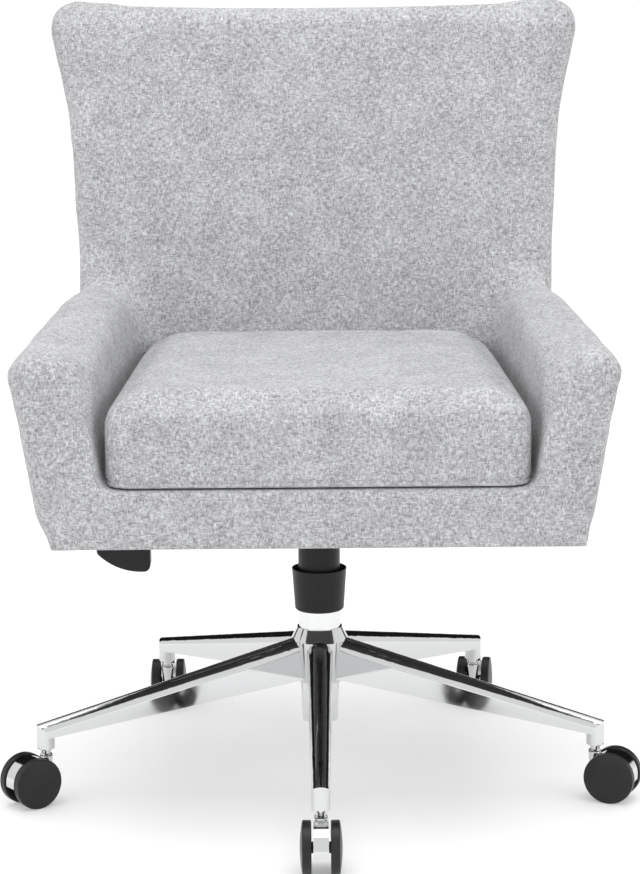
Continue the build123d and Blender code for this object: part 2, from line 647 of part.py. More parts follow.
def build_wheel(name, side, outward):
    """outward is +1 or -1 along the side plane's normal."""
    rim = WHEEL_INNER + WHEEL_RIM_W
    axis_dir = side.z_dir * outward
    up = Vector(0, 0, 1)
    section = Plane(origin=side.origin, x_dir=up, z_dir=up.cross(axis_dir))
    bore = AXLE_D / 2 + RUN
    hub = AXLE_D / 2 + WHEEL_HUB_WALL
    recess = hub + WHEEL_RECESS_INSET
    bore_end = WHEEL_INNER + AXLE_IN_WHEEL + GAP
    face_r = WHEEL_R - WHEEL_SHOULDER
    round_mid = QUARTER_MID * WHEEL_SHOULDER
    crown_r = (face_r**2 + WHEEL_CROWN**2) / (2 * WHEEL_CROWN)
    crown_mid = rim + WHEEL_CROWN - crown_r + math.sqrt(crown_r**2 - (face_r / 2) ** 2)
    with BuildPart() as wheel:
        with BuildSketch(section):
            with BuildLine():
                Polyline(
                    (0, rim + WHEEL_CROWN),
                    (0, bore_end),
                    (bore, bore_end),
                    (bore, HOOD_W / 2 + GAP),
                    (hub, HOOD_W / 2 + GAP),
                    (hub, WHEEL_INNER),
                    (recess, WHEEL_INNER),
                    (recess, WHEEL_INNER + WHEEL_RECESS_DEPTH),
                    (WHEEL_R - WHEEL_RIM_T, WHEEL_INNER + WHEEL_RECESS_DEPTH),
                    (WHEEL_R - WHEEL_RIM_T, WHEEL_INNER),
                    (WHEEL_R - WHEEL_RIM_CHAMFER, WHEEL_INNER),
                    (WHEEL_R, WHEEL_INNER + WHEEL_RIM_CHAMFER),
                    (WHEEL_R, rim - WHEEL_SHOULDER),
                )
                ThreePointArc(
                    (WHEEL_R, rim - WHEEL_SHOULDER),
                    (WHEEL_R - round_mid, rim - round_mid),
                    (face_r, rim),
                )
                ThreePointArc((face_r, rim), (face_r / 2, crown_mid), (0, rim + WHEEL_CROWN))
            make_face()
        revolve(axis=Axis(side.origin, axis_dir))
    save(wheel, name)


for index, (place, heading) in enumerate(CASTERS.items()):
    stem, side = caster_frame(index, heading)
    build_hood("caster_" + place, stem, side)
    build_axle("caster_" + place, side)
    build_wheel("caster_" + place + "_wheel_right", side, 1)
    build_wheel("caster_" + place + "_wheel_left", side, -1)

# ================================================================ tilt mechanism
with BuildPart() as cylinder_socket:
    with BuildSketch(Plane.XZ):
        with BuildLine():
            Polyline(
                (CYLINDER_D / 2, CYLINDER_SHOULDER_Z),
                (SOCKET_TUBE_R, CYLINDER_SHOULDER_Z),
                (SOCKET_TUBE_R, CYLINDER_TOP_Z),
                (CYLINDER_TIP_D / 2, CYLINDER_TOP_Z),
                close=True,
            )
        make_face()
    revolve(axis=Axis.Z)
save(cylinder_socket, "cylinder_socket")

MECH_NOSE_Z = MECH_FLOOR_Z + MECH_NOSE_H
MECH_NOSE_Y = MECH_FRONT_Y + MECH_NOSE_L
MECH_CHEEK_TOP_Z = SEAT_PLATE_Z - MECH_STOP_H
MECH_REAR_TOP_Z = MECH_FLOOR_Z + MECH_REAR_H
MECH_PIVOT_REAR_Y = TILT_AXLE_Y + MECH_PIVOT_REAR
with BuildPart() as mechanism_housing:
    with BuildSketch(Plane.YZ):
        with BuildLine():
            Polyline(
                (MECH_FRONT_Y, MECH_CHEEK_TOP_Z),
                (MECH_FRONT_Y, MECH_NOSE_Z),
                (MECH_NOSE_Y, MECH_FLOOR_Z),
                (MECH_REAR_Y, MECH_FLOOR_Z),
                (MECH_REAR_Y, MECH_REAR_TOP_Z),
                (MECH_PIVOT_REAR_Y, MECH_CHEEK_TOP_Z),
                close=True,
            )
        make_face()
    extrude(amount=MECH_HALF_W, both=True)
    with BuildSketch(Plane.YZ):
        with BuildLine():
            Polyline(
                (MECH_FRONT_Y + MECH_PLATE, SEAT_PLATE_Z),
                (MECH_FRONT_Y + MECH_PLATE, MECH_NOSE_Z + MECH_PLATE / 2),
                (MECH_NOSE_Y + MECH_PLATE / 2, MECH_FLOOR_Z + MECH_PLATE),
                (MECH_REAR_Y - MECH_PLATE, MECH_FLOOR_Z + MECH_PLATE),
                (MECH_REAR_Y - MECH_PLATE, SEAT_PLATE_Z),
                close=True,
            )
        make_face()
    extrude(amount=MECH_HALF_W - MECH_PLATE, both=True, mode=Mode.SUBTRACT)
    with BuildSketch(Plane.XY.offset(MECH_FLOOR_Z)):
        Circle(SOCKET_TUBE_R)
    extrude(amount=MECH_PLATE, mode=Mode.SUBTRACT)
    with BuildSketch(Plane.YZ):
        with Locations((TILT_AXLE_Y, TILT_AXLE_Z)):
            Circle(TILT_AXLE_D / 2)
    extrude(amount=MECH_HALF_W, both=True, mode=Mode.SUBTRACT)
    with BuildSketch(Plane.YZ.offset(-MECH_HALF_W)):
        with Locations((LEVER_Y, LEVER_Z)):
            Circle(LEVER_BALL_D / 2 + LEVER_BALL_GAP)
    extrude(amount=MECH_PLATE, mode=Mode.SUBTRACT)
save(mechanism_housing, "mechanism_housing")

EAR_INNER_X = MECH_HALF_W + EAR_GAP
EAR_OUTER_X = EAR_INNER_X + MECH_PLATE
BUSH_OUTER_R = TILT_AXLE_D / 2 + TILT_BUSH_WALL
CLIP_INNER_X = EAR_OUTER_X + 2 * GAP
with BuildPart() as tilt_axle:
    with BuildSketch(Plane.YZ):
        with Locations((TILT_AXLE_Y, TILT_AXLE_Z)):
            Circle(TILT_AXLE_D / 2)
    extrude(amount=CLIP_INNER_X + 2 * CLIP_T, both=True)
    chamfer(tilt_axle.edges(), TILT_AXLE_CHAMFER)
save(tilt_axle, "tilt_axle")

with BuildPart() as tilt_axle_clips:
    for sign in (-1, 1):
        with BuildSketch(Plane.YZ.offset(sign * CLIP_INNER_X)):
            with Locations((TILT_AXLE_Y, TILT_AXLE_Z)):
                Circle(TILT_AXLE_D / 2 + TILT_CLIP_W)
                Circle(TILT_AXLE_D / 2, mode=Mode.SUBTRACT)
        extrude(amount=sign * CLIP_T)
save(tilt_axle_clips, "tilt_axle_clips")

with BuildPart() as tilt_bushes:
    for sign in (-1, 1):
        with BuildSketch(Plane.YZ.offset(sign * (MECH_HALF_W + GAP))):
            with Locations((TILT_AXLE_Y, TILT_AXLE_Z)):
                Circle(BUSH_OUTER_R + TILT_BUSH_FLANGE)
        extrude(amount=sign * (EAR_GAP - GAP))
        with BuildSketch(Plane.YZ.offset(sign * EAR_INNER_X)):
            with Locations((TILT_AXLE_Y, TILT_AXLE_Z)):
                Circle(BUSH_OUTER_R)
        extrude(amount=sign * MECH_PLATE)
    with BuildSketch(Plane.YZ):
        with Locations((TILT_AXLE_Y, TILT_AXLE_Z)):
            Circle(TILT_AXLE_D / 2 + RUN)
    extrude(amount=EAR_OUTER_X, both=True, mode=Mode.SUBTRACT)
save(tilt_bushes, "tilt_bushes")

with BuildPart() as seat_plate:
    with BuildSketch(Plane.XY.offset(SEAT_PLATE_Z)):
        RectangleRounded(SEAT_PLATE_X, SEAT_PLATE_Y, SEAT_PLATE_CORNER)
        with GridLocations(BOLT_SPACING_X, BOLT_SPACING_Y, 2, 2):
            Circle(BOLT_HOLE_D / 2, mode=Mode.SUBTRACT)
    extrude(amount=MECH_PLATE)
    for sign in (-1, 1):
        with BuildSketch(Plane.YZ.offset(sign * EAR_INNER_X)):
            with BuildLine():
                Polyline(
                    (TILT_AXLE_Y - EAR_L / 2, SEAT_PLATE_Z),
                    (TILT_AXLE_Y - EAR_L / 2 + EAR_SIDE, TILT_AXLE_Z - EAR_DROP + 2 * EAR_SIDE),
                    (TILT_AXLE_Y - EAR_FOOT, TILT_AXLE_Z - EAR_DROP),
                    (TILT_AXLE_Y + EAR_FOOT, TILT_AXLE_Z - EAR_DROP),
                    (TILT_AXLE_Y + EAR_L / 2 - EAR_SIDE, TILT_AXLE_Z - EAR_DROP + 2 * EAR_SIDE),
                    (TILT_AXLE_Y + EAR_L / 2, SEAT_PLATE_Z),
                    close=True,
                )
            make_face()
            with Locations((TILT_AXLE_Y, TILT_AXLE_Z)):
                Circle(BUSH_OUTER_R, mode=Mode.SUBTRACT)
        extrude(amount=sign * MECH_PLATE)
save(seat_plate, "seat_plate")

with BuildPart() as stop_pad:
    with BuildSketch(Plane.XY.offset(MECH_CHEEK_TOP_Z)):
        with Locations((0, MECH_FRONT_Y + MECH_PLATE / 2)):
            Rectangle(STOP_PAD_X, STOP_PAD_Y)
    extrude(amount=SEAT_PLATE_Z - MECH_CHEEK_TOP_Z)
save(stop_pad, "stop_pad")

SPRING_FOOT_Z = MECH_FLOOR_Z + MECH_PLATE
SPRING_L = SEAT_PLATE_Z - SPRING_FOOT_Z
HELIX_L = SPRING_L - SPRING_WIRE_D
with BuildPart() as tilt_spring:
    with BuildLine():
        coil = Helix(
            pitch=HELIX_L / SPRING_TURNS,
            height=HELIX_L,
            radius=SPRING_R,
            center=(0, 0, SPRING_FOOT_Z + SPRING_WIRE_D / 2),
        )
    with BuildSketch(Plane(origin=coil @ 0, z_dir=coil % 0)):
        Circle(SPRING_WIRE_D / 2 - SPRING_SLACK)
    sweep(path=coil, is_frenet=True)

with BuildPart() as tilt_springs:
    with Locations((-SPRING_X, SPRING_Y, 0), (SPRING_X, SPRING_Y, 0)):
        add(tilt_spring.part)
save(tilt_springs, "tilt_springs")

# ================================================================ lever
LEVER_PIVOT_X = -MECH_HALF_W + MECH_PLATE / 2
with BuildPart() as lever_rocker:
    with Locations((LEVER_PIVOT_X, LEVER_Y, LEVER_Z)):
        Sphere(LEVER_BALL_D / 2)
        Box(LEVER_BALL_W, LEVER_BALL_D, LEVER_BALL_D, mode=Mode.INTERSECT)
    with BuildSketch(Plane.YZ.offset(LEVER_PIVOT_X)):
        with Locations((LEVER_Y, LEVER_Z)):
            Circle(LEVER_ROD_D / 2 + RUN)
    extrude(amount=LEVER_BALL_D, both=True, mode=Mode.SUBTRACT)
save(lever_rocker, "lever_rocker")

with BuildPart() as lever_rod:
    with BuildLine() as lever_path:
        FilletPolyline(
            (LEVER_INNER_X, LEVER_Y, LEVER_Z),
            (LEVER_BEND_X, LEVER_Y, LEVER_Z),
            (LEVER_END_X, LEVER_Y, LEVER_END_Z),
            radius=LEVER_BEND_R,
        )
    with BuildSketch(Plane(origin=lever_path.line @ 0, z_dir=lever_path.line % 0)):
        Circle(LEVER_ROD_D / 2)
    sweep()
save(lever_rod, "lever_rod")

HANDLE_TOP_INNER_Z = LEVER_END_Z + HANDLE_TOP_RISE
HANDLE_TOP_OUTER_Z = LEVER_END_Z + HANDLE_TIP_RISE
with BuildPart() as lever_handle:
    with BuildSketch(Plane.XZ.offset(-LEVER_Y)) as handle_profile:
        with BuildLine():
            Polyline(
                (HANDLE_OUTER_X, HANDLE_TOP_OUTER_Z - 2 * HANDLE_NOSE_R),
                (HANDLE_OUTER_X, HANDLE_TOP_OUTER_Z),
                (HANDLE_INNER_X, HANDLE_TOP_INNER_Z),
                (HANDLE_INNER_X, HANDLE_BOTTOM_Z),
                (HANDLE_INNER_X - HANDLE_HEEL, HANDLE_BOTTOM_Z),
            )
            ThreePointArc(
                (HANDLE_INNER_X - HANDLE_HEEL, HANDLE_BOTTOM_Z),
                (HANDLE_INNER_X - HANDLE_BELLY_X, HANDLE_BOTTOM_Z + HANDLE_BELLY_Z),
                (HANDLE_OUTER_X, HANDLE_TOP_OUTER_Z - 2 * HANDLE_NOSE_R),
            )
        make_face()
        fillet(handle_profile.vertices().sort_by(Axis.X)[:2], HANDLE_NOSE_R)
        fillet(handle_profile.vertices().sort_by(lambda v: v.Y - v.X)[0], HANDLE_HEEL_R)
    extrude(amount=HANDLE_W / 2, both=True)
    flat_sides = lever_handle.edges().filter_by(lambda e: abs(e.center().Y - LEVER_Y) > HANDLE_W / 2 - RUN)
    fillet(flat_sides, HANDLE_ROUND)
    add(lever_rod.part, mode=Mode.SUBTRACT)
save(lever_handle, "lever_handle")

# ================================================================ seat board and fixings
with BuildPart() as seat_bolts:
    with BuildSketch(Plane.XY.offset(SEAT_PLATE_Z - BOLT_HEAD_T)):
        with GridLocations(BOLT_SPACING_X, BOLT_SPACING_Y, 2, 2):
            Circle(BOLT_HEAD_D / 2)
    extrude(amount=BOLT_HEAD_T)
    with BuildSketch(Plane.XY.offset(SEAT_PLATE_Z)):
        with GridLocations(BOLT_SPACING_X, BOLT_SPACING_Y, 2, 2):
            Circle(BOLT_D / 2)
    extrude(amount=BOARD_TOP_Z - SEAT_PLATE_Z)
save(seat_bolts, "seat_bolts")

with BuildPart() as tee_nuts:
    with BuildSketch(Plane.XY.offset(BOARD_TOP_Z)):
        with GridLocations(BOLT_SPACING_X, BOLT_SPACING_Y, 2, 2):
            Circle(TEE_FLANGE_D / 2)
    extrude(amount=TEE_FLANGE_T)
    with BuildSketch(Plane.XY.offset(BOARD_TOP_Z)):
        with GridLocations(BOLT_SPACING_X, BOLT_SPACING_Y, 2, 2):
            Circle(TEE_BARREL_D / 2)
    extrude(amount=-TEE_BARREL_L)
    with BuildSketch(Plane.XY.offset(BOARD_TOP_Z)):
        with GridLocations(BOLT_SPACING_X, BOLT_SPACING_Y, 2, 2):
            Circle(BOLT_D / 2)
    extrude(amount=-SEAT_BOARD_T, mode=Mode.SUBTRACT)
save(tee_nuts, "tee_nuts")

BOARD_MID_Y = (SEAT_BOARD_FRONT_Y + SEAT_BOARD_REAR_Y) / 2
BOARD_Y = SEAT_BOARD_REAR_Y - SEAT_BOARD_FRONT_Y
with BuildPart() as seat_board:
    with BuildSketch(Plane.XY.offset(FOAM_BOTTOM_Z)):
        with Locations((0, BOARD_MID_Y)):
            RectangleRounded(SEAT_BOARD_X, BOARD_Y, SEAT_BOARD_CORNER)
        with GridLocations(BOLT_SPACING_X, BOLT_SPACING_Y, 2, 2):
            Circle(TEE_BARREL_D / 2, mode=Mode.SUBTRACT)
    extrude(amount=SEAT_BOARD_T)
save(seat_board, "seat_board")

# ================================================================ deck pad, arms, cushion


def back_face_y(z):
    """Where the back's front face is at height z."""
    return BACK_SEAT_Y + (z - BACK_SEAT_Z) * math.tan(RECLINE_RAD)


ARM_REAR_Y = back_face_y(ARM_TOP_REAR_Z) + ARM_INTO_BACK


def inner_half(y):
    """Half the width between the arms at depth y."""
    t = (y - SEAT_FRONT_Y) / (back_face_y(SEAT_DECK_Z) - SEAT_FRONT_Y)
    return between(INNER_HALF_FRONT, INNER_HALF_REAR, t)


with BuildPart() as deck_pad:
    with BuildSketch(Plane.XY.offset(FOAM_BOTTOM_Z)):
        with BuildLine():
            Polyline(
                (-inner_half(SEAT_FRONT_Y), SEAT_FRONT_Y),
                (inner_half(SEAT_FRONT_Y), SEAT_FRONT_Y),
                (inner_half(ARM_REAR_Y), ARM_REAR_Y),
                (-inner_half(ARM_REAR_Y), ARM_REAR_Y),
                close=True,
            )
        make_face()
    extrude(amount=SEAT_DECK_Z - FOAM_BOTTOM_Z)
    split(bisect_by=BACK_FACE, keep=Keep.TOP)
    with BuildSketch(Plane.XY.offset(FOAM_BOTTOM_Z)):
        with Locations((0, BOARD_MID_Y)):
            RectangleRounded(SEAT_BOARD_X, BOARD_Y, SEAT_BOARD_CORNER)
    extrude(amount=SEAT_BOARD_T, mode=Mode.SUBTRACT)
    with BuildSketch(Plane.XY.offset(BOARD_TOP_Z)):
        with GridLocations(BOLT_SPACING_X, BOLT_SPACING_Y, 2, 2):
            Circle(TEE_FLANGE_D / 2)
    extrude(amount=TEE_FLANGE_T, mode=Mode.SUBTRACT)
save(deck_pad, "deck_pad")

DUST_REAR_Y = back_face_y(SHELL_BOTTOM_Z) + BACK_T - DUST_INSET
DUST_FRONT_HALF = ARM_BOTTOM_HALF_FRONT - DUST_INSET
DUST_REAR_HALF = ARM_BOTTOM_HALF_REAR - DUST_INSET
with BuildPart() as dust_cover:
    with BuildSketch(Plane.XY.offset(SHELL_BOTTOM_Z)):
        with BuildLine():
            Polyline(
                (-DUST_FRONT_HALF, SEAT_FRONT_Y + DUST_INSET),
                (DUST_FRONT_HALF, SEAT_FRONT_Y + DUST_INSET),
                (DUST_REAR_HALF, DUST_REAR_Y),
                (-DUST_REAR_HALF, DUST_REAR_Y),
                close=True,
            )
        make_face()
        opening_x = SEAT_PLATE_X + 2 * DUST_OPENING_GAP
        opening_y = SEAT_PLATE_Y + 2 * DUST_OPENING_GAP
        Rectangle(opening_x, opening_y, mode=Mode.SUBTRACT)
    extrude(amount=DUST_COVER_T)
save(dust_cover, "dust_cover")


def arm_outline(sign, y):
    """Section of an arm across the chair at depth y; sign is +1 for the right arm."""
    t = (y - SEAT_FRONT_Y) / (ARM_REAR_Y - SEAT_FRONT_Y)
    inner = inner_half(y)
    bottom_half = between(ARM_BOTTOM_HALF_FRONT, ARM_BOTTOM_HALF_REAR, t)
    top_half = between(ARM_TOP_HALF_FRONT, ARM_TOP_HALF_REAR, t)
    top = between(ARM_TOP_FRONT_Z, ARM_TOP_REAR_Z, t)
    return [
        (sign * inner, FOAM_BOTTOM_Z),
        (sign * bottom_half, FOAM_BOTTOM_Z),
        (sign * top_half, top),
        (sign * (top_half - ARM_TOP_W), top),
        (sign * inner, SEAT_DECK_Z),
    ]


def arm_board_outline(sign, y):
    """Section of the plywood panel let into the outer side of an arm."""
    bottom, outer, top = arm_outline(sign, y)[:3]
    lean = (top[0] - outer[0]) / (top[1] - outer[1])
    low = outer[1] + ARM_BOARD_LOW
    high = top[1] - ARM_BOARD_HIGH
    low_x = outer[0] + (low - outer[1]) * lean
    high_x = outer[0] + (high - outer[1]) * lean
    return [
        (low_x, low),
        (high_x, high),
        (high_x - sign * ARM_BOARD_T, high),
        (low_x - sign * ARM_BOARD_T, low),
    ]


ARM_BOARD_FRONT_Y = SEAT_FRONT_Y + ARM_BOARD_FRONT
ARM_BOARD_REAR_Y = back_face_y(ARM_TOP_FRONT_Z) - ARM_BOARD_REAR


def section_face(points, y, corners, radius):
    """Closed outline on a plane across the chair, with the named corners rounded."""
    with BuildSketch(Plane(origin=(0, y, 0), x_dir=(1, 0, 0), z_dir=(0, -1, 0))) as face:
        with BuildLine():
            Polyline(*points, close=True)
        make_face()
        if corners:
            picked = [face.vertices().sort_by_distance(Vector(*points[i], 0))[0] for i in corners]
            fillet(picked, radius)
    return face.sketch


def arm_section(sign, y):
    return section_face(arm_outline(sign, y), y, [2, 3], ARM_ROUND)


def arm_board_section(sign, y):
    return section_face(arm_board_outline(sign, y), y, [], 0)


for sign, hand in ((-1, "left"), (1, "right")):
    board_ends = [arm_board_section(sign, ARM_BOARD_FRONT_Y), arm_board_section(sign, ARM_BOARD_REAR_Y)]
    with BuildPart() as arm_frame:
        loft(board_ends, ruled=True)
    save(arm_frame, "arm_frame_" + hand)

    with BuildPart() as arm_pad:
        loft([arm_section(sign, SEAT_FRONT_Y), arm_section(sign, ARM_REAR_Y)], ruled=True)
        split(bisect_by=BACK_FACE, keep=Keep.TOP)
        add(arm_frame.part, mode=Mode.SUBTRACT)
    save(arm_pad, "arm_pad_" + hand)

CUSHION_BOTTOM_Z = SEAT_DECK_Z + GAP
CUSHION_FRONT_Y = SEAT_FRONT_Y + CUSHION_SET_BACK
with BuildPart() as seat_cushion:
    with BuildSketch(Plane.XY.offset(CUSHION_BOTTOM_Z)):
        with BuildLine():
            Polyline(
                (-inner_half(CUSHION_FRONT_Y) + CUSHION_GAP, CUSHION_FRONT_Y),
                (inner_half(CUSHION_FRONT_Y) - CUSHION_GAP, CUSHION_FRONT_Y),
                (inner_half(ARM_REAR_Y) - CUSHION_GAP, ARM_REAR_Y),
                (-inner_half(ARM_REAR_Y) + CUSHION_GAP, ARM_REAR_Y),
                close=True,
            )
        make_face()
    extrude(amount=CUSHION_TOP_Z - CUSHION_BOTTOM_Z)
    split(bisect_by=BACK_FACE.offset(GAP), keep=Keep.TOP)
    corners = seat_cushion.edges().filter_by(lambda e: e.length < 2 * (CUSHION_TOP_Z - CUSHION_BOTTOM_Z))
    fillet(corners, CUSHION_ROUND)
    fillet(seat_cushion.edges().group_by(Axis.Z)[-1], CUSHION_TOP_ROUND)
save(seat_cushion, "seat_cushion")

# ================================================================ back
COS_RECLINE = math.cos(RECLINE_RAD)


def on_face(z):
    """Height along the reclined face for a level z."""
    return (z - BACK_SEAT_Z) / COS_RECLINE


BACK_REAR = BACK_FACE.offset(-BACK_T)
WAIST_H = on_face(BACK_WAIST_Z)
CORNER_H = on_face(BACK_TOP_Z + BACK_CORNER_RISE)
MIDDLE_H = on_face(BACK_TOP_Z)
ARM_H = on_face(ARM_TOP_REAR_Z)
FOOT_H = on_face(FOAM_BOTTOM_Z) - 30
FLARE = BACK_TOP_HALF - BACK_WAIST_HALF
FLARE_H = CORNER_H - WAIST_H
FLARE_R = (FLARE_H**2 + FLARE**2) / (2 * FLARE)


def flare_half(h):
    """Half width of the back where its sides flare, above the waist."""
    return BACK_WAIST_HALF + FLARE_R - math.sqrt(FLARE_R**2 - (h - WAIST_H) ** 2)


with BuildPart() as back_slab:
    with BuildSketch(BACK_REAR) as back_face_sketch:
        with BuildLine():
            foot_half = ARM_BOTTOM_HALF_REAR - BACK_FOOT_INSET
            middle_h = WAIST_H + FLARE_H / 2
            Line((-foot_half, FOOT_H), (foot_half, FOOT_H))
            for s in (-1, 1):
                Line((s * foot_half, FOOT_H), (s * BACK_WAIST_HALF, ARM_H))
                Line((s * BACK_WAIST_HALF, ARM_H), (s * BACK_WAIST_HALF, WAIST_H))
                ThreePointArc(
                    (s * BACK_WAIST_HALF, WAIST_H),
                    (s * flare_half(middle_h), middle_h),
                    (s * BACK_TOP_HALF, CORNER_H),
                )
            ThreePointArc((-BACK_TOP_HALF, CORNER_H), (0, MIDDLE_H), (BACK_TOP_HALF, CORNER_H))
        make_face()
        fillet(back_face_sketch.vertices().group_by(Axis.Y)[-1], BACK_CORNER_R)
    extrude(amount=BACK_T)
    split(bisect_by=Plane.XY.offset(FOAM_BOTTOM_Z), keep=Keep.TOP)
    above_arms = back_slab.edges().filter_by(lambda e: e.center().Z > ARM_TOP_REAR_Z + ARM_ROUND)
    fillet(above_arms.filter_by(lambda e: e.length > ARM_ROUND), ARM_ROUND)

FRAME_HALF = BACK_WAIST_HALF - BACK_FRAME_INSET
FRAME_LOW_H = on_face(SEAT_DECK_Z)
FRAME_HIGH_H = MIDDLE_H - BACK_FRAME_TOP_INSET
FRAME_MID_H = (FRAME_LOW_H + FRAME_HIGH_H) / 2
FRAME_H = FRAME_HIGH_H - FRAME_LOW_H
FRAME_W = 2 * FRAME_HALF
FRAME_PLANE = BACK_REAR.offset(BACK_PANEL_T)
WINDOW_W = FRAME_W - 2 * BACK_FRAME_RAIL
WINDOW_H = FRAME_H - 2 * BACK_FRAME_RAIL
WEBBING_PITCH = WINDOW_H / WEBBING_ROWS
POCKET_DEPTH = BACK_PANEL_T + BACK_FRAME_T + WEBBING_T

with BuildPart() as back_outer_panel:
    with BuildSketch(BACK_REAR):
        with Locations((0, FRAME_MID_H)):
            RectangleRounded(FRAME_W, FRAME_H, BACK_FRAME_CORNER)
    extrude(amount=BACK_PANEL_T)
save(back_outer_panel, "back_outer_panel")

with BuildPart() as back_frame:
    with BuildSketch(FRAME_PLANE):
        with Locations((0, FRAME_MID_H)):
            RectangleRounded(FRAME_W, FRAME_H, BACK_FRAME_CORNER)
            RectangleRounded(WINDOW_W, WINDOW_H, BACK_FRAME_CORNER, mode=Mode.SUBTRACT)
    extrude(amount=BACK_FRAME_T)
save(back_frame, "back_frame")

with BuildPart() as back_webbing:
    with BuildSketch(FRAME_PLANE.offset(BACK_FRAME_T)):
        with Locations((0, FRAME_MID_H)):
            with GridLocations(0, WEBBING_PITCH, 1, WEBBING_ROWS):
                Rectangle(FRAME_W - BACK_FRAME_RAIL, WEBBING_PITCH * WEBBING_SHARE)
    extrude(amount=WEBBING_T)
save(back_webbing, "back_webbing")

with BuildPart() as back_pad:
    add(back_slab.part)
    with BuildSketch(BACK_REAR):
        with Locations((0, FRAME_MID_H)):
            RectangleRounded(FRAME_W, FRAME_H, BACK_FRAME_CORNER)
    extrude(amount=POCKET_DEPTH, mode=Mode.SUBTRACT)
save(back_pad, "back_pad")
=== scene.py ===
import math

import bmesh
import bpy
import numpy as np
from mathutils import Euler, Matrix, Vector


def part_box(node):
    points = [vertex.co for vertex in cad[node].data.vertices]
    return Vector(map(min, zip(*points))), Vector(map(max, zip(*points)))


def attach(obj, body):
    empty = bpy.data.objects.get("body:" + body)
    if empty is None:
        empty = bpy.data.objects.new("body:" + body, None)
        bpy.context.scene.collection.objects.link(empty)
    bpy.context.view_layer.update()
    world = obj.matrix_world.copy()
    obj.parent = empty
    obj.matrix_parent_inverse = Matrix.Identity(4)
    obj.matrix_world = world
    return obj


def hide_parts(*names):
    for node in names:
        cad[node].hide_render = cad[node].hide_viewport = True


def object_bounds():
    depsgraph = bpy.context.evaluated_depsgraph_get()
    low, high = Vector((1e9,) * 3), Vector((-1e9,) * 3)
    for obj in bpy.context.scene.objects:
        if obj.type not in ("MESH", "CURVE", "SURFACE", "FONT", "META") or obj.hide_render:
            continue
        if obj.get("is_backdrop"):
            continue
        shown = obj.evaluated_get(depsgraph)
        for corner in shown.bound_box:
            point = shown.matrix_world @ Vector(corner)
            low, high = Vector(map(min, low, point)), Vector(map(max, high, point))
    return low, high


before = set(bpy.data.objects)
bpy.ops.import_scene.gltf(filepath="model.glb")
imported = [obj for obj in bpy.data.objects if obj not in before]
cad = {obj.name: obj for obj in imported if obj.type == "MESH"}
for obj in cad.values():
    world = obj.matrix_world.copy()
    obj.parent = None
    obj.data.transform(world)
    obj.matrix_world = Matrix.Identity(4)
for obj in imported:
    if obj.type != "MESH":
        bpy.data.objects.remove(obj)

# Swivel office chair: upholstered shell and seat cushion around the CAD frame, and every finish.
# Metres, +Z up, -Y towards the front of the chair, origin on the floor under the gas column.

cad_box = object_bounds()
scene = bpy.context.scene


# ================================================================ driving sizes
VOXEL = 0.005
BACK_RECLINE = math.radians(10.8)
ARM_TOP_FRONT = 0.552          # height of the arm's top at its front
ARM_TOP_RISE = 0.016           # and how much it gains towards the back
ARM_JOIN_Z = 0.568             # where the arm meets the back
WAIST_Z = 0.612                # the back is narrowest up to here, then flares
FLARE_TOP_Z = 0.912
FOOT_HALF = 0.276              # half widths of the back
WAIST_HALF = 0.300
FLARE = 0.026
CUSHION_FRONT_HALF = 0.2375    # half width left for the cushion between the arms
CUSHION_TAPER = 0.0215         # and how much less it is at the rear

# wadding over the plain solids
ARM_WADDING_LEFT = 0.0085
ARM_WADDING_RIGHT = 0.0008
ARM_TOP_WADDING = 0.0100
BACK_CORNER_WADDING = 0.0095
BACK_TOP_WADDING = 0.0060

# foam: share of each smoothing round that a place takes part in
SHELL_FIRM = 0.008
INNER_EDGE_SOFT = 0.18
VALLEY_SOFT = 0.45
FRONT_EDGE_SOFT = 0.006
SOFTEST = 0.48
SHELL_ROUNDS = 220
CUSHION_FIRM = 0.030
REAR_CORNER_SOFT = 0.05
CUSHION_ROUNDS = 180
CUSHION_SHRINK = (1.000, 0.996, 0.985)

# cloth: how far the cover may swell
SHELL_SWELL = 0.0045
CUSHION_SWELL = 0.0060
CUSHION_TOP_SWELL = 0.0060     # more on top
CUSHION_FRONT_SWELL = 0.002    # more on the front
PUFF_FRAMES = 20
PUFF_PRESSURE = 4.0

# seams: depth and half width of the groove
SEAM_DEPTH = 0.0028
SEAM_WIDTH = 0.0026
TUCK_DEPTH = 0.0030
TUCK_WIDTH = 0.0030
PANEL_SEAM_INSET = 0.016       # from the outer panel's edge
PANEL_TOP_DROP = 0.022
ARM_SEAM_BEHIND = 0.004        # behind the back's front face
BOXING_SEAM_RISE = 0.0075
BOXING_SEAM_SIZE = 0.0020
ROLL_RISE = 0.0035
ROLL_HEIGHT = 0.0010
ROLL_WIDTH = 0.0025
CUSHION_LIFT = 0.0002          # the cushion's cover just clears the deck
BACK_CLEARANCE = 0.0015

THREAD_PITCH = 0.00150
SWAY = 0.35                    # how far a thread wanders, in thread pitches
SWAY_SCALE = 25.0
SLUB = 0.26                    # tone changes along a thread, per thread pitch
STREAKINESS = 0.7              # 0 shows each crossing, 1 only the threads' own tones
SWAY_OFFSET = (3, 7, 5)        # keeps the two directions' sway apart
WARP_STEP = 5.31               # from one thread to the next in the tone's noise
WEFT_STEP = 4.77
WEFT_PLANE = 9
THREAD_CROWN = 4.0
TONE_LIFT = 0.8                # paler threads stand higher
SHARPENINGS = 3                # how suddenly the cloth turns from one axis to another
BLOTCH = 0.025                 # tone lost or gained over a hand's breadth
DARK_TONE = 0.335              # tones at which the cloth's three colours lie
MIDDLE_TONE = 0.50
LIGHT_TONE = 0.665

arm_low, arm_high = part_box("arm_pad_right")
deck_low, deck_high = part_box("deck_pad")
back_low, back_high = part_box("back_pad")
cushion_low, cushion_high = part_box("seat_cushion")
SHELL_BOTTOM = deck_low.z
SHELL_FRONT = arm_low.y
DECK_TOP = deck_high.z


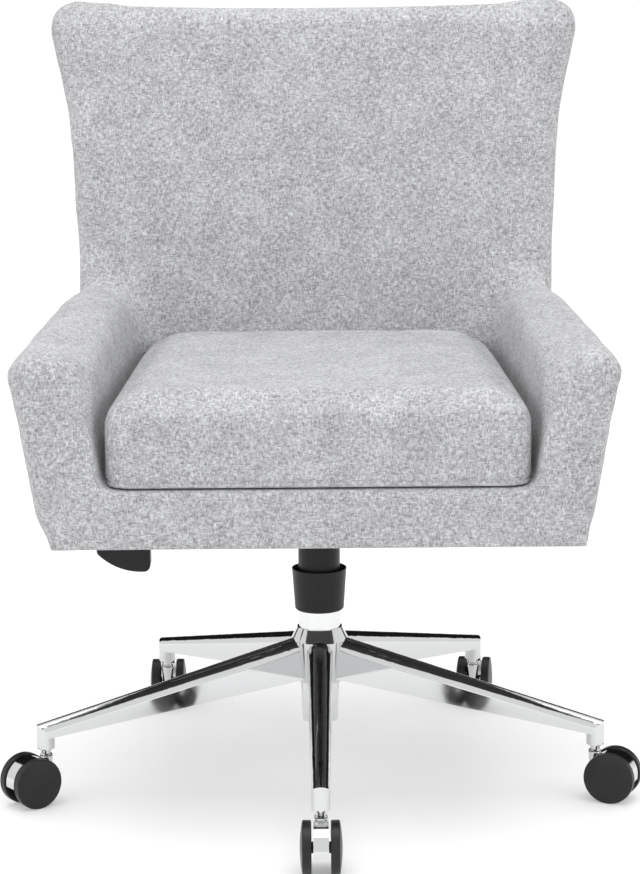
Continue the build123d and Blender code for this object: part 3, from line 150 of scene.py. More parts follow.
# ================================================================ mesh helpers
def coordinates(mesh):
    co = np.empty(len(mesh.vertices) * 3)
    mesh.vertices.foreach_get("co", co)
    return co.reshape(-1, 3)


def set_coordinates(mesh, co):
    mesh.vertices.foreach_set("co", co.astype(np.float32).ravel())
    mesh.update()


def vertex_normals(mesh):
    normals = np.empty(len(mesh.vertices) * 3, np.float32)
    mesh.vertex_normals.foreach_get("vector", normals)
    return normals.reshape(-1, 3).astype(float)


def edge_pairs(mesh):
    pairs = np.empty(len(mesh.edges) * 2, np.int32)
    mesh.edges.foreach_get("vertices", pairs)
    return pairs.reshape(-1, 2)


def add_object(name, mesh):
    piece = bpy.data.objects.new(name, mesh)
    scene.collection.objects.link(piece)
    return piece


def joined_solids(name, node_names, hull_names=()):
    """One object holding copies of CAD nodes, and of the convex hulls of others."""
    bm = bmesh.new()
    for node in node_names:
        bm.from_mesh(cad[node].data)
    bmesh.ops.remove_doubles(bm, verts=bm.verts, dist=1e-5)
    for node in hull_names:
        part = bmesh.new()
        part.from_mesh(cad[node].data)
        hull = bmesh.ops.convex_hull(part, input=part.verts)
        bmesh.ops.delete(part, geom=hull["geom_interior"], context="VERTS")
        filler = bpy.data.meshes.new(node + "_hull")
        part.to_mesh(filler)
        part.free()
        bm.from_mesh(filler)
        bpy.data.meshes.remove(filler)
    mesh = bpy.data.meshes.new(name)
    bm.to_mesh(mesh)
    bm.free()
    return add_object(name, mesh)


def apply_modifiers(piece):
    """The piece's mesh becomes what its modifiers make of it."""
    graph = bpy.context.evaluated_depsgraph_get()
    mesh = bpy.data.meshes.new_from_object(piece.evaluated_get(graph))
    piece.modifiers.clear()
    piece.data = mesh


def voxel_remesh(piece, size):
    remesh = piece.modifiers.new("remesh", "REMESH")
    remesh.mode = "VOXEL"
    remesh.voxel_size = size
    apply_modifiers(piece)


def subdivide(piece, levels=1):
    smooth = piece.modifiers.new("subdivide", "SUBSURF")
    smooth.levels = smooth.render_levels = levels
    apply_modifiers(piece)


def shade_smooth(piece):
    piece.data.polygons.foreach_set("use_smooth", [True] * len(piece.data.polygons))


def neighbour_mean(co, pairs, degree):
    """Mean place of each vertex's neighbours."""
    total = np.empty_like(co)
    for axis in range(3):
        total[:, axis] = np.bincount(pairs[:, 0], co[pairs[:, 1], axis], len(co))
        total[:, axis] += np.bincount(pairs[:, 1], co[pairs[:, 0], axis], len(co))
    return total / degree[:, None]


def relax(piece, weight, rounds):
    """Laplacian smoothing; weight is how strongly each vertex takes part, 0 to 0.5."""
    co = coordinates(piece.data)
    pairs = edge_pairs(piece.data)
    degree = np.bincount(pairs.ravel(), minlength=len(co)).astype(float)
    for _ in range(rounds):
        co += weight[:, None] * (neighbour_mean(co, pairs, degree) - co)
    set_coordinates(piece.data, co)


REGION_SPREAD = 6              # rounds of smoothing for the edge of a region
CAP_SPREAD = 8
RISE_SPREAD = 4


def smooth_field(mesh, field, rounds):
    """Spread a value over its neighbours, so regions fade into each other."""
    pairs = edge_pairs(mesh)
    degree = np.bincount(pairs.ravel(), minlength=len(field)).astype(float)
    for _ in range(rounds):
        total = np.bincount(pairs[:, 0], field[pairs[:, 1]], len(field))
        total += np.bincount(pairs[:, 1], field[pairs[:, 0]], len(field))
        field = 0.5 * field + 0.5 * total / degree
    return field


def fade(value, start, end):
    """0 before start, 1 after end, smooth between; start may be above end."""
    t = np.clip((value - start) / (end - start), 0.0, 1.0)
    return t * t * (3 - 2 * t)


def zone(value, limits, base=0.0):
    """fade() between two limits measured from a base."""
    return fade(value, base + limits[0], base + limits[1])


def puff(piece, cap):
    """Blow the piece up gently as cloth; no vertex moves inwards, or further than its cap."""
    rest = coordinates(piece.data)
    outward = vertex_normals(piece.data)
    cloth = piece.modifiers.new("cloth", "CLOTH")
    settings = cloth.settings
    settings.quality = 5
    settings.mass = 0.3
    settings.tension_stiffness = 15
    settings.compression_stiffness = 15
    settings.shear_stiffness = 5
    settings.bending_stiffness = 0.5
    settings.use_pressure = True
    settings.uniform_pressure_force = PUFF_PRESSURE
    settings.effector_weights.gravity = 0.0
    cloth.point_cache.frame_start = 1
    cloth.point_cache.frame_end = PUFF_FRAMES
    for step in range(1, PUFF_FRAMES + 1):
        scene.frame_set(step)
    apply_modifiers(piece)
    scene.frame_set(1)
    move = coordinates(piece.data) - rest
    rise = np.clip(np.einsum("ij,ij->i", move, outward), 0.0, cap)
    rise = smooth_field(piece.data, rise, RISE_SPREAD)
    set_coordinates(piece.data, rest + outward * rise[:, None])


def press_line(mesh, distance, depth, width, mask=None):
    """Sew a groove where distance is zero: the surface is drawn in along its normals."""
    amount = depth * np.exp(-((distance / width) ** 2))
    if mask is not None:
        amount = amount * mask
    co = coordinates(mesh)
    set_coordinates(mesh, co - vertex_normals(mesh) * amount[:, None])


def distance_to_segment(co, start, end):
    start = np.array(start)
    along = np.array(end) - start
    t = np.clip((co - start) @ along / (along @ along), 0, 1)
    return np.linalg.norm(co - (start + t[:, None] * along), axis=1)


# ================================================================ upholstered shell
# the plane of the back's front face, through the rear edge of the cushion's top
back_normal = np.array([0.0, -math.cos(BACK_RECLINE), math.sin(BACK_RECLINE)])
back_point = np.array([0.0, cushion_high.y, cushion_high.z])


def ahead_of_back(co):
    """Distance in front of the back's front face."""
    return (co - back_point) @ back_normal


def arm_top(y):
    """Height of an arm's top edge at depth y."""
    t = (y - arm_low.y) / (arm_high.y - arm_low.y)
    return ARM_TOP_FRONT + ARM_TOP_RISE * t


# Regions of the shell, each as (where it starts, where it is whole), in metres from the base that
# its use names, or as parts of a normal.
ARM_AHEAD = (-0.02, 0.0)               # from the back's front face
ARM_SIDE = (0.20, 0.225)               # from the middle plane
EDGE_OVER_DECK = (0.04, 0.09)
EDGE_INSIDE = (0.322, 0.285)
VALLEY_AHEAD = (0.09, 0.02)
VALLEY_SIDE = (0.17, 0.215)
VALLEY_INSIDE = (0.318, 0.28)
VALLEY_OVER_DECK = (0.0, 0.06)
VALLEY_OVER_ARM = (0.10, 0.03)
FRONT_EDGE = (0.05, 0.02)
UNDERSIDE = (0.02, 0.008)
UNDERSIDE_FIRM = 0.75
CUSHION_BED = (-0.02, 0.0)
CUSHION_BED_TOP = (0.50, 0.47)
CUSHION_BED_SIDE = (0.28, 0.262)
CUSHION_BED_AHEAD = (-0.01, 0.0)
FACING_DOWN = (0.5, 0.8)
FACING_SIDE = (0.4, 0.8)
FACING_REAR = (0.4, 0.8)
WAIST_FROM = (0.56, 0.59)
WAIST_TO = (0.86, 0.74)
WAIST_TAUT = 0.85
REAR_TAUT = 0.6
PROUD_AHEAD = (-0.045, -0.005)
PROUD_SIDE = (0.235, 0.26)
PROUD_FOOT = (0.006, 0.03)
PROUD_ARM_TOP = (0.50, 0.53)
PROUD_CORNER = (0.76, 0.90)
PROUD_CORNER_AHEAD = (0.02, 0.0)
PROUD_TOP = (0.84, 0.88)


def build_shell():
    solids = ["arm_pad_left", "arm_pad_right", "back_pad", "deck_pad", "seat_board", "back_outer_panel"]
    hulls = ["back_frame", "back_webbing", "arm_frame_left", "arm_frame_right"]
    shell = joined_solids("upholstered_shell", solids, hulls)
    voxel_remesh(shell, VOXEL)
    stand_proud(shell)
    relax(shell, shell_softness(shell), SHELL_ROUNDS)
    puff(shell, shell_swell(shell))
    subdivide(shell)
    sew_shell(shell)
    shade_smooth(shell)
    return shell


def stand_proud(shell):
    """The wadding over the arms and round the top of the back, which the plain solids lack."""
    co = coordinates(shell.data)
    normal = vertex_normals(shell.data)
    ahead = ahead_of_back(co)
    sideways = np.clip(normal[:, 0] * np.sign(co[:, 0]), 0, 1)
    up = np.clip(normal[:, 2], 0, 1)
    arm = zone(ahead, PROUD_AHEAD) * zone(np.abs(co[:, 0]), PROUD_SIDE)
    wadding = np.where(co[:, 0] < 0, ARM_WADDING_LEFT, ARM_WADDING_RIGHT)
    amount = arm * sideways * wadding * zone(co[:, 2], PROUD_FOOT, SHELL_BOTTOM)
    amount += arm * up * ARM_TOP_WADDING * zone(co[:, 2], PROUD_ARM_TOP)
    corner = zone(co[:, 2], PROUD_CORNER)
    amount += sideways * BACK_CORNER_WADDING * corner * zone(ahead, PROUD_CORNER_AHEAD)
    amount += up * BACK_TOP_WADDING * zone(co[:, 2], PROUD_TOP)
    amount = smooth_field(shell.data, amount, REGION_SPREAD)
    set_coordinates(shell.data, co + normal * amount[:, None])


def shell_softness(shell):
    """Foam rounds the arms' inner top edges and the valleys where they run into the back."""
    co = coordinates(shell.data)
    side = np.abs(co[:, 0])
    height = co[:, 2]
    ahead = ahead_of_back(co)
    inner_edge = zone(ahead, ARM_AHEAD) * zone(side, ARM_SIDE)
    inner_edge = inner_edge * zone(height, EDGE_OVER_DECK, DECK_TOP) * zone(side, EDGE_INSIDE)
    valley = zone(np.abs(ahead), VALLEY_AHEAD) * zone(side, VALLEY_SIDE) * zone(side, VALLEY_INSIDE)
    over_arm = zone(height, VALLEY_OVER_ARM, arm_top(co[:, 1]))
    valley *= zone(height, VALLEY_OVER_DECK, DECK_TOP) * over_arm
    front_edge = zone(co[:, 1], FRONT_EDGE, SHELL_FRONT)
    underside = zone(height, UNDERSIDE, SHELL_BOTTOM)
    weight = SHELL_FIRM + INNER_EDGE_SOFT * inner_edge + VALLEY_SOFT * valley
    weight = weight + FRONT_EDGE_SOFT * front_edge * (1 - inner_edge)
    weight = np.clip(weight, 0, SOFTEST) * (1 - UNDERSIDE_FIRM * underside)
    return smooth_field(shell.data, weight, REGION_SPREAD)


def shell_swell(shell):
    """How far each place may swell: less at the waist and rear, none underneath or by the cushion."""
    co = coordinates(shell.data)
    normal = vertex_normals(shell.data)
    by_cushion = zone(co[:, 2], CUSHION_BED, DECK_TOP) * zone(co[:, 2], CUSHION_BED_TOP)
    by_cushion *= zone(np.abs(co[:, 0]), CUSHION_BED_SIDE) * zone(ahead_of_back(co), CUSHION_BED_AHEAD)
    facing_down = zone(-normal[:, 2], FACING_DOWN)
    waist = zone(co[:, 2], WAIST_FROM) * zone(co[:, 2], WAIST_TO)
    waist = waist * zone(np.abs(normal[:, 0]), FACING_SIDE)
    cap = SHELL_SWELL * (1 - facing_down) * (1 - by_cushion) * (1 - WAIST_TAUT * waist)
    cap *= 1 - REAR_TAUT * zone(normal[:, 1], FACING_REAR)
    return smooth_field(shell.data, cap, CAP_SPREAD)


# Ends of the stitched lines on each front corner: (from the middle, from SHELL_FRONT, height).
MITRE_START = (0.2370, 0.0, 0.001)     # heights from DECK_TOP
MITRE_END = (0.2500, -0.002, -0.0145)
TUCK_START = (0.2950, 0.008, 0.5620)   # heights from the floor
TUCK_END = (0.2860, -0.003, 0.5500)
SEAM_FACING_REAR = (0.3, 0.7)
SEAM_FACING_SIDE = (0.4, 0.7)
ARM_SEAM_TOP = (0.575, 0.555)
ARM_SEAM_SIDE = (0.25, 0.27)
SIDE_SEAM_END = 0.04                   # the side seams stop this far under the back's top
FAR = 1.0                              # a distance at which a groove has no depth


def front_corner_point(hand, place, base):
    return (hand * place[0], SHELL_FRONT + place[1], base + place[2])


def sew_shell(shell):
    """Seams, the corner mitres under the cushion and the tucks on the arms' corners."""
    mesh = shell.data
    co = coordinates(mesh)
    for hand in (-1, 1):
        mitre = (front_corner_point(hand, end, DECK_TOP) for end in (MITRE_START, MITRE_END))
        press_line(mesh, distance_to_segment(co, *mitre), TUCK_DEPTH, SEAM_WIDTH)
        tuck = (front_corner_point(hand, end, 0.0) for end in (TUCK_START, TUCK_END))
        press_line(mesh, distance_to_segment(co, *tuck), TUCK_DEPTH, TUCK_WIDTH)
    # the outside panel is closed to the sides of the back with a slip-stitched seam
    normal = vertex_normals(mesh)
    rearward = zone(normal[:, 1], SEAM_FACING_REAR)
    side = np.abs(co[:, 0])
    seam_half = panel_half_width(co[:, 2]) - PANEL_SEAM_INSET
    below_end = co[:, 2] < back_high.z - SIDE_SEAM_END
    press_line(mesh, np.where(below_end, side - seam_half, FAR), SEAM_DEPTH, SEAM_WIDTH, rearward)
    along_top = co[:, 2] - (back_high.z - PANEL_TOP_DROP - PANEL_SEAM_INSET)
    press_line(mesh, np.where(side < seam_half, along_top, FAR), SEAM_DEPTH, SEAM_WIDTH, rearward)
    # where the arm's outer panel meets the back's side
    outward = zone(np.abs(normal[:, 0]), SEAM_FACING_SIDE) * zone(co[:, 2], ARM_SEAM_TOP)
    outward = outward * zone(side, ARM_SEAM_SIDE)
    press_line(mesh, ahead_of_back(co) + ARM_SEAM_BEHIND, SEAM_DEPTH, SEAM_WIDTH, outward)


def panel_half_width(z):
    """Half width of the back at height z: straight to the waist, then flaring in an arc."""
    foot = FOOT_HALF + (z - SHELL_BOTTOM) * (WAIST_HALF - FOOT_HALF) / (ARM_JOIN_Z - SHELL_BOTTOM)
    rise = np.clip((z - WAIST_Z) / (FLARE_TOP_Z - WAIST_Z), 0, 1)
    return np.where(z < ARM_JOIN_Z, foot, WAIST_HALF + FLARE * rise**2)


# ================================================================ seat cushion
CUSHION_REAR = (-0.12, -0.05)          # from its rear edge
CUSHION_CORNER = (0.13, 0.18)
CUSHION_FLOOR = (0.012, 0.003)         # from its underside
FLOOR_FIRM = 0.8
SWELL_FROM = 0.04                      # from its underside
SWELL_FULL = 0.02                      # under its top
CUSHION_FRONT = (0.05, 0.01)
BOXING_FACING = (0.3, 0.7)


def build_cushion():
    cushion = joined_solids("seat_cushion_cover", ["seat_cushion"])
    co = coordinates(cushion.data)
    middle = np.array([0.0, (cushion_low.y + cushion_high.y) / 2, cushion_low.z])
    set_coordinates(cushion.data, middle + (co - middle) * np.array(CUSHION_SHRINK))
    voxel_remesh(cushion, VOXEL)

    co = coordinates(cushion.data)
    corner = zone(co[:, 1], CUSHION_REAR, cushion_high.y) * zone(np.abs(co[:, 0]), CUSHION_CORNER)
    floor = zone(co[:, 2], CUSHION_FLOOR, cushion_low.z)
    weight = (CUSHION_FIRM + REAR_CORNER_SOFT * corner) * (1 - FLOOR_FIRM * floor)
    relax(cushion, smooth_field(cushion.data, weight, REGION_SPREAD), CUSHION_ROUNDS)

    co = coordinates(cushion.data)
    up = fade(co[:, 2], cushion_low.z + SWELL_FROM, cushion_high.z - SWELL_FULL)
    ahead = zone(co[:, 1], CUSHION_FRONT, cushion_low.y)
    puff(cushion, CUSHION_SWELL + CUSHION_TOP_SWELL * up + CUSHION_FRONT_SWELL * ahead * (1 - up))
    keep_clear(cushion)
    subdivide(cushion)
    sew_cushion(cushion)
    shade_smooth(cushion)
    return cushion


def keep_clear(cushion):
    """The cushion rests flat on the deck and leaves a thin dark gap to the arms and the back."""
    co = coordinates(cushion.data)
    co[:, 2] = np.maximum(co[:, 2], cushion_low.z + CUSHION_LIFT)
    t = (co[:, 1] - cushion_low.y) / (cushion_high.y - cushion_low.y)
    half = CUSHION_FRONT_HALF - CUSHION_TAPER * t
    co[:, 0] = np.clip(co[:, 0], -half, half)
    over = np.minimum(ahead_of_back(co) - BACK_CLEARANCE, 0.0)
    co -= over[:, None] * back_normal
    set_coordinates(cushion.data, co)


def sew_cushion(cushion):
    """The boxing's lower seam, with the rolled edge under it."""
    mesh = cushion.data
    co = coordinates(mesh)
    normal = vertex_normals(mesh)
    sideways = zone(np.hypot(normal[:, 0], normal[:, 1]), BOXING_FACING)
    seam = co[:, 2] - (cushion_low.z + BOXING_SEAM_RISE)
    press_line(mesh, seam, BOXING_SEAM_SIZE, BOXING_SEAM_SIZE, sideways)
    roll = coordinates(mesh)[:, 2] - (cushion_low.z + ROLL_RISE)
    press_line(mesh, roll, -ROLL_HEIGHT, ROLL_WIDTH, sideways)


# ================================================================ node helpers
def node(tree, kind, inputs=None, **settings):
    """Add a shader node; inputs maps socket names or numbers to values or other sockets."""
    made = tree.nodes.new("ShaderNode" + kind)
    for key, value in settings.items():
        setattr(made, key, value)
    for key, value in (inputs or {}).items():
        if isinstance(value, bpy.types.NodeSocket):
            tree.links.new(value, made.inputs[key])
        else:
            made.inputs[key].default_value = value
    return made


def calc(tree, operation, *values):
    made = node(tree, "Math", dict(enumerate(values)), operation=operation)
    return made.outputs[0]


def vector(tree, x, y, z):
    return node(tree, "CombineXYZ", {0: x, 1: y, 2: z}).outputs[0]


def noise(tree, at, scale, detail=2.0, roughness=0.5):
    inputs = {"Vector": at, "Scale": scale, "Detail": detail, "Roughness": roughness}
    return node(tree, "TexNoise", inputs).outputs["Fac"]


def remap(tree, value, low, high, to_low, to_high):
    inputs = {0: value, 1: low, 2: high, 3: to_low, 4: to_high}
    return node(tree, "MapRange", inputs).outputs[0]


def blend_values(tree, share, a, b):
    made = node(tree, "Mix", {"Factor": share, "A": a, "B": b})
    return made.outputs["Result"]


def ramp(tree, value, *stops):
    """Colour ramp; each stop is (position, (r, g, b))."""
    made = node(tree, "ValToRGB", {0: value})
    elements = made.color_ramp.elements
    while len(elements) < len(stops):
        elements.new(0.5)
    for element, (position, colour) in zip(elements, stops):
        element.position = position
        element.color = (*colour, 1.0)
    return made.outputs["Color"]


def new_material(name):
    """A material, its tree, its main shader and the object-space place."""
    material = bpy.data.materials.new(name)
    material.use_nodes = True
    tree = material.node_tree
    shader = tree.nodes["Principled BSDF"]
    place = node(tree, "TexCoord").outputs["Object"]
    return material, tree, shader, place


def set_shader(shader, **values):
    for name, value in values.items():
        shader.inputs[name.replace("_", " ")].default_value = value


def set_bump(tree, shader, height, strength, distance):
    bump = node(tree, "Bump", {"Height": height, "Strength": strength, "Distance": distance})
    tree.links.new(bump.outputs[0], shader.inputs["Normal"])


# ================================================================ woven fabric
def weave_group():
    """Plain weave of slubby threads: takes a place on the cloth, gives tone and height."""
    tree = bpy.data.node_groups.new("plain_weave", "ShaderNodeTree")
    tree.interface.new_socket("Place", in_out="INPUT", socket_type="NodeSocketVector")
    tree.interface.new_socket("Tone", in_out="OUTPUT", socket_type="NodeSocketFloat")
    tree.interface.new_socket("Height", in_out="OUTPUT", socket_type="NodeSocketFloat")
    entry = tree.nodes.new("NodeGroupInput")
    leave = tree.nodes.new("NodeGroupOutput")
    split = node(tree, "SeparateXYZ", {0: entry.outputs[0]})
    sway_u = noise(tree, entry.outputs[0], SWAY_SCALE)
    elsewhere = node(tree, "VectorMath", {0: entry.outputs[0], 1: SWAY_OFFSET}).outputs[0]
    sway_v = noise(tree, elsewhere, SWAY_SCALE)
    threads = 1 / THREAD_PITCH
    u = calc(tree, "MULTIPLY_ADD", split.outputs[0], threads, calc(tree, "MULTIPLY", sway_u, SWAY))
    v = calc(tree, "MULTIPLY_ADD", split.outputs[1], threads, calc(tree, "MULTIPLY", sway_v, SWAY))
    warp = calc(tree, "FLOOR", u)
    weft = calc(tree, "FLOOR", v)
    parity = calc(tree, "PINGPONG", calc(tree, "ADD", warp, weft), 1.0)
    warp_at = vector(tree, calc(tree, "MULTIPLY", warp, WARP_STEP), calc(tree, "MULTIPLY", v, SLUB), 0)
    weft_along = calc(tree, "MULTIPLY", u, SLUB)
    weft_at = vector(tree, weft_along, calc(tree, "MULTIPLY", weft, WEFT_STEP), WEFT_PLANE)
    warp_tone = noise(tree, warp_at, 1.0)
    weft_tone = noise(tree, weft_at, 1.0)
    woven = blend_values(tree, parity, warp_tone, weft_tone)
    streaks = calc(tree, "MULTIPLY", calc(tree, "ADD", warp_tone, weft_tone), 0.5)
    tone = blend_values(tree, STREAKINESS, woven, streaks)
    across_warp = calc(tree, "PINGPONG", u, 0.5)
    across_weft = calc(tree, "PINGPONG", v, 0.5)
    height = calc(tree, "MULTIPLY", across_warp, across_weft)
    height = calc(tree, "MULTIPLY_ADD", height, THREAD_CROWN, calc(tree, "MULTIPLY", tone, TONE_LIFT))
    tree.links.new(tone, leave.inputs["Tone"])
    tree.links.new(height, leave.inputs["Height"])
    return tree


def triplanar(tree, group, place):
    """The group's tone and height, laid on along whichever axis the surface faces."""
    facing = node(tree, "TexCoord").outputs["Normal"]
    sharp = node(tree, "VectorMath", {0: facing, 1: facing}, operation="MULTIPLY").outputs[0]
    for _ in range(SHARPENINGS):
        sharp = node(tree, "VectorMath", {0: sharp, 1: sharp}, operation="MULTIPLY").outputs[0]
    shares = node(tree, "SeparateXYZ", {0: sharp})
    total = calc(tree, "ADD", shares.outputs[0], shares.outputs[1])
    total = calc(tree, "ADD", total, shares.outputs[2])
    at = node(tree, "SeparateXYZ", {0: place})
    x, y, z = at.outputs[0], at.outputs[1], at.outputs[2]
    tone, height = 0.0, 0.0
    for axis, (u, v) in enumerate(((y, z), (x, z), (x, y))):
        cloth = node(tree, "Group", {}, node_tree=group)
        tree.links.new(vector(tree, u, v, float(axis)), cloth.inputs[0])
        share = calc(tree, "DIVIDE", shares.outputs[axis], total)
        tone = calc(tree, "MULTIPLY_ADD", cloth.outputs["Tone"], share, tone)
        height = calc(tree, "MULTIPLY_ADD", cloth.outputs["Height"], share, height)
    return tone, height


def fabric_material(name, dark, middle, light):
    """Light grey melange linen over foam."""
    material, tree, shader, place = new_material(name)
    tone, height = triplanar(tree, weave, place)
    blotch = noise(tree, place, 22.0, 3.0)
    tone = calc(tree, "ADD", tone, remap(tree, blotch, 0.3, 0.7, -BLOTCH, BLOTCH))
    colour = ramp(tree, tone, (DARK_TONE, dark), (MIDDLE_TONE, middle), (LIGHT_TONE, light))
    tree.links.new(colour, shader.inputs["Base Color"])
    set_shader(shader, Roughness=0.92, Sheen_Weight=0.12, Sheen_Roughness=0.6, Specular_IOR_Level=0.2)
    set_bump(tree, shader, height, 0.45, 0.0004)
    return material


# ================================================================ hard finishes
HAZE_ROUGHNESS = 0.06          # roughness added where the finish is hazy or rubbed
RUB_ROUGHNESS = 0.12
STAIN_SHADE = 0.72             # colour left in a stain
RUB_GAIN = 1.25                # a rubbed patch is paler by a share and a little more
RUB_LIFT = 0.004
PLASTIC_SHEEN = 0.25
PLASTIC_GRAIN = 0.30
WOOD_DARK = (0.36, 0.22, 0.11)
WOOD_LIGHT = (0.66, 0.49, 0.30)
WOOD_GRAIN_SCALE = (6.0, 45.0, 700.0)
WEBBING_DARK = (0.035, 0.03, 0.028)
WEBBING_LIGHT = (0.16, 0.14, 0.12)
SPUN_DARK = (0.006, 0.006, 0.006)
SPUN_LIGHT = (0.035, 0.035, 0.036)


def chrome_material(name, colour, roughness):
    """Bright plate with faint polishing haze."""
    material, tree, shader, place = new_material(name)
    haze = noise(tree, place, 35.0, 4.0)
    hazy = remap(tree, haze, 0.35, 0.75, roughness, roughness + HAZE_ROUGHNESS)
    tree.links.new(hazy, shader.inputs["Roughness"])
    set_shader(shader, Base_Color=(*colour, 1), Metallic=1.0)
    set_bump(tree, shader, noise(tree, place, 260.0, 2.0), 0.02, 0.0002)
    return material


def ground_metal(name, colour, roughness, lines):
    """Metal with fine grinding lines round the Z axis and small stains."""
    material, tree, shader, place = new_material(name)
    stretched = node(tree, "Mapping", {"Vector": place, "Scale": lines}).outputs[0]
    grain = noise(tree, stretched, 1.0, 3.0)
    stain = noise(tree, place, 60.0, 3.0)
    darker = tuple(STAIN_SHADE * c for c in colour)
    tree.links.new(ramp(tree, stain, (0.35, darker), (0.6, colour)), shader.inputs["Base Color"])
    ground = remap(tree, grain, 0.3, 0.7, roughness - 0.08, roughness + 0.1)
    tree.links.new(ground, shader.inputs["Roughness"])
    set_shader(shader, Metallic=1.0)
    set_bump(tree, shader, grain, 0.15, 0.0002)
    return material


def moulded_plastic(name, colour, roughness, grain_scale, grain_depth):
    """Moulded plastic or powder coat: fine grain, slightly paler rubbed patches."""
    material, tree, shader, place = new_material(name)
    grain = noise(tree, place, grain_scale, 2.0, 0.6)
    rub = noise(tree, place, 28.0, 4.0)
    paler = tuple(min(1.0, RUB_GAIN * c + RUB_LIFT) for c in colour)
    tree.links.new(ramp(tree, rub, (0.42, colour), (0.72, paler)), shader.inputs["Base Color"])
    rubbed = remap(tree, rub, 0.3, 0.75, roughness, roughness + RUB_ROUGHNESS)
    tree.links.new(rubbed, shader.inputs["Roughness"])
    set_shader(shader, Specular_IOR_Level=PLASTIC_SHEEN)
    set_bump(tree, shader, grain, PLASTIC_GRAIN, grain_depth)
    return material


def plywood_material():
    material, tree, shader, place = new_material("birch_plywood")
    rings = node(tree, "Mapping", {"Vector": place, "Scale": WOOD_GRAIN_SCALE}).outputs[0]
    grain = noise(tree, rings, 1.0, 5.0, 0.6)
    colour = ramp(tree, grain, (0.35, WOOD_DARK), (0.65, WOOD_LIGHT))
    tree.links.new(colour, shader.inputs["Base Color"])
    set_shader(shader, Roughness=0.7)
    set_bump(tree, shader, grain, 0.2, 0.0004)
    return material


def webbing_material():
    material, tree, shader, place = new_material("elastic_webbing")
    tone, height = triplanar(tree, weave, place)
    colour = ramp(tree, tone, (0.35, WEBBING_DARK), (0.65, WEBBING_LIGHT))
    tree.links.new(colour, shader.inputs["Base Color"])
    set_shader(shader, Roughness=0.85)
    set_bump(tree, shader, height, 0.5, 0.0005)
    return material


def nonwoven_material():
    """Black spun cloth with its pattern of small bonded dots."""
    material, tree, shader, place = new_material("nonwoven_dust_cloth")
    pattern = {"Vector": place, "Scale": 420.0, "Randomness": 0.25}
    dots = node(tree, "TexVoronoi", pattern).outputs["Distance"]
    fibres = noise(tree, place, 900.0, 3.0, 0.7)
    colour = ramp(tree, fibres, (0.35, SPUN_DARK), (0.7, SPUN_LIGHT))
    tree.links.new(colour, shader.inputs["Base Color"])
    set_shader(shader, Roughness=0.8, Sheen_Weight=0.2)
    set_bump(tree, shader, remap(tree, dots, 0.0, 0.35, 0.0, 1.0), 0.4, 0.0003)
    return material


weave = weave_group()
CLOTH_DARK = (0.200, 0.200, 0.205)
CLOTH_MIDDLE = (0.390, 0.392, 0.402)
CLOTH_LIGHT = (0.620, 0.623, 0.635)
finishes = {
    "chrome": chrome_material("polished_chrome", (0.64, 0.645, 0.65), 0.05),
    "column_chrome": chrome_material("column_chrome", (0.74, 0.745, 0.75), 0.16),
    "steel": ground_metal("ground_steel", (0.60, 0.61, 0.62), 0.28, (60.0, 60.0, 2600.0)),
    "zinc": ground_metal("zinc_plate", (0.68, 0.70, 0.70), 0.34, (300.0, 300.0, 300.0)),
    "black_steel": moulded_plastic("black_powder_coat", (0.020, 0.020, 0.021), 0.42, 900.0, 0.0003),
    "black_plastic": moulded_plastic("black_moulding", (0.011, 0.011, 0.012), 0.36, 1600.0, 0.0002),
    "caster_plastic": moulded_plastic("caster_nylon", (0.016, 0.016, 0.017), 0.30, 1300.0, 0.00012),
    "white_plastic": moulded_plastic("acetal", (0.72, 0.71, 0.67), 0.40, 1400.0, 0.0001),
    "rubber": moulded_plastic("black_rubber", (0.014, 0.014, 0.014), 0.72, 700.0, 0.0003),
    "plywood": plywood_material(),
    "foam": fabric_material("shell_fabric", CLOTH_DARK, CLOTH_MIDDLE, CLOTH_LIGHT),
    "cushion_fabric": fabric_material("cushion_fabric", CLOTH_DARK, CLOTH_MIDDLE, CLOTH_LIGHT),
    "webbing": webbing_material(),
    "dust_cover": nonwoven_material(),
}


# each CAD node's slot carries the name of its finish, perhaps with a number behind a dot
cad_finishes = {name: piece.material_slots[0].material.name.split(".")[0] for name, piece in cad.items()}
for name, finish_name in cad_finishes.items():
    cad[name].material_slots[0].material = finishes[finish_name]


def finish_piece(piece, slot_name, body):
    piece.data.materials.clear()
    piece.data.materials.append(finishes[slot_name])
    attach(piece, body)


shell = build_shell()
finish_piece(shell, "foam", "seat")
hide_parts("arm_pad_left", "arm_pad_right", "back_pad", "deck_pad", "seat_board")
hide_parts("arm_frame_left", "arm_frame_right", "back_frame", "back_webbing", "back_outer_panel")

cushion = build_cushion()
finish_piece(cushion, "cushion_fabric", "seat")
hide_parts("seat_cushion")


# ================================================================ floor, light and camera
CAMERA_PITCH = math.radians(78.88)
CAMERA_ROLL = math.radians(-0.45)
FLOOR_HALF = 40.0
CAMERA_PLACE = (0.0022, -3.320, 1.068)
CAMERA_LENS = 117.06           # millimetres, with the sensor
SENSOR_WIDTH = 36.0
SKY = 1.0
FLOOR_GLOW = 0.27              # a lit sweep: the floor is as white as the sky
FLOOR_DARK = (0.75, 0.75, 0.75)
FLOOR_LIGHT = (0.78, 0.78, 0.78)
FLAG_HALF = 3.5
FLAG_Y = 3.2
FLAG_BOTTOM = 0.35
FLAG_TOP = 3.2
LAMP_TARGET = (0, 0, 0.5)
OVERHEAD_PLACE = (0.0, -0.5, 3.0)
OVERHEAD_SIZE = (2.4, 2.4)
OVERHEAD_POWER = 40
LEFT_FILL_PLACE = (-2.6, -2.2, 1.6)
RIGHT_FILL_PLACE = (2.6, -2.2, 1.6)
FILL_SIZE = (1.6, 2.0)
LEFT_FILL_POWER = 10
RIGHT_FILL_POWER = 6


def quad(name, corners):
    mesh = bpy.data.meshes.new(name)
    mesh.from_pydata(corners, [], [(0, 1, 2, 3)])
    return add_object(name, mesh)


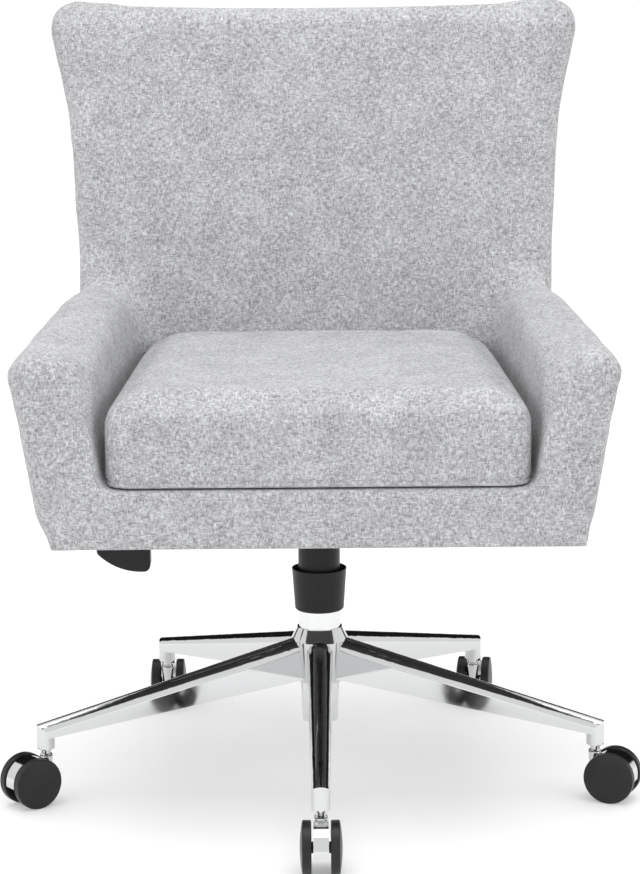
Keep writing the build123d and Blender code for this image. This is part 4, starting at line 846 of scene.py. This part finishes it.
def build_floor():
    corners = [(x * FLOOR_HALF, y * FLOOR_HALF, 0) for x, y in ((-1, -1), (1, -1), (1, 1), (-1, 1))]
    floor = quad("floor", corners)
    material, tree, shader, place = new_material("pale_floor")
    mottle = noise(tree, place, 3.0, 3.0)
    colour = ramp(tree, mottle, (0.3, FLOOR_DARK), (0.7, FLOOR_LIGHT))
    tree.links.new(colour, shader.inputs["Base Color"])
    set_shader(shader, Roughness=0.9, Specular_IOR_Level=0.1, Emission_Strength=FLOOR_GLOW)
    set_shader(shader, Emission_Color=(1, 1, 1, 1))
    floor.data.materials.append(material)
    floor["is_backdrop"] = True


def build_flag():
    """A black cloth out of the camera's sight, for the chrome to reflect."""
    material, _, shader, _ = new_material("black_flag")
    set_shader(shader, Base_Color=(0.01, 0.01, 0.01, 1), Roughness=0.9, Specular_IOR_Level=0.0)
    low = [(-FLAG_HALF, FLAG_Y, FLAG_BOTTOM), (FLAG_HALF, FLAG_Y, FLAG_BOTTOM)]
    high = [(FLAG_HALF, FLAG_Y, FLAG_TOP), (-FLAG_HALF, FLAG_Y, FLAG_TOP)]
    flag = quad("rear_flag", low + high)
    flag.data.materials.append(material)
    flag.visible_camera = False
    flag.visible_diffuse = False
    flag.visible_shadow = False
    flag.visible_transmission = False
    flag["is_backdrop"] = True


def area_light(name, place, size, power):
    light = bpy.data.lights.new(name, "AREA")
    light.shape = "RECTANGLE"
    light.size, light.size_y = size
    light.energy = power
    lamp = bpy.data.objects.new(name, light)
    scene.collection.objects.link(lamp)
    lamp.location = place
    lamp.rotation_euler = (Vector(LAMP_TARGET) - Vector(place)).to_track_quat("-Z", "Y").to_euler()


def build_lights():
    world = bpy.data.worlds.new("studio")
    scene.world = world
    world.use_nodes = True
    sky = world.node_tree.nodes["Background"]
    sky.inputs["Color"].default_value = (1, 1, 1, 1)
    sky.inputs["Strength"].default_value = SKY
    area_light("overhead", OVERHEAD_PLACE, OVERHEAD_SIZE, OVERHEAD_POWER)
    area_light("left_fill", LEFT_FILL_PLACE, FILL_SIZE, LEFT_FILL_POWER)
    area_light("right_fill", RIGHT_FILL_PLACE, FILL_SIZE, RIGHT_FILL_POWER)


def camera_turn():
    """Looking down at the chair, with the photographer's slight roll."""
    pitch = Euler((CAMERA_PITCH, 0, 0)).to_matrix()
    roll = Euler((0, 0, CAMERA_ROLL)).to_matrix()
    return (pitch @ roll).to_euler()


def build_camera():
    lens = bpy.data.cameras.new("camera")
    lens.lens = CAMERA_LENS
    lens.sensor_width = SENSOR_WIDTH
    camera = bpy.data.objects.new("camera", lens)
    scene.collection.objects.link(camera)
    camera.location = CAMERA_PLACE
    camera.rotation_euler = camera_turn()
    scene.camera = camera


build_floor()
build_flag()
build_lights()
build_camera()
scene.view_settings.view_transform = "Standard"

visual_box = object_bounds()
boxes = {"cad": cad_box, "visual": visual_box}
boxes = {name: [[float(c) for c in corner] for corner in box] for name, box in boxes.items()}
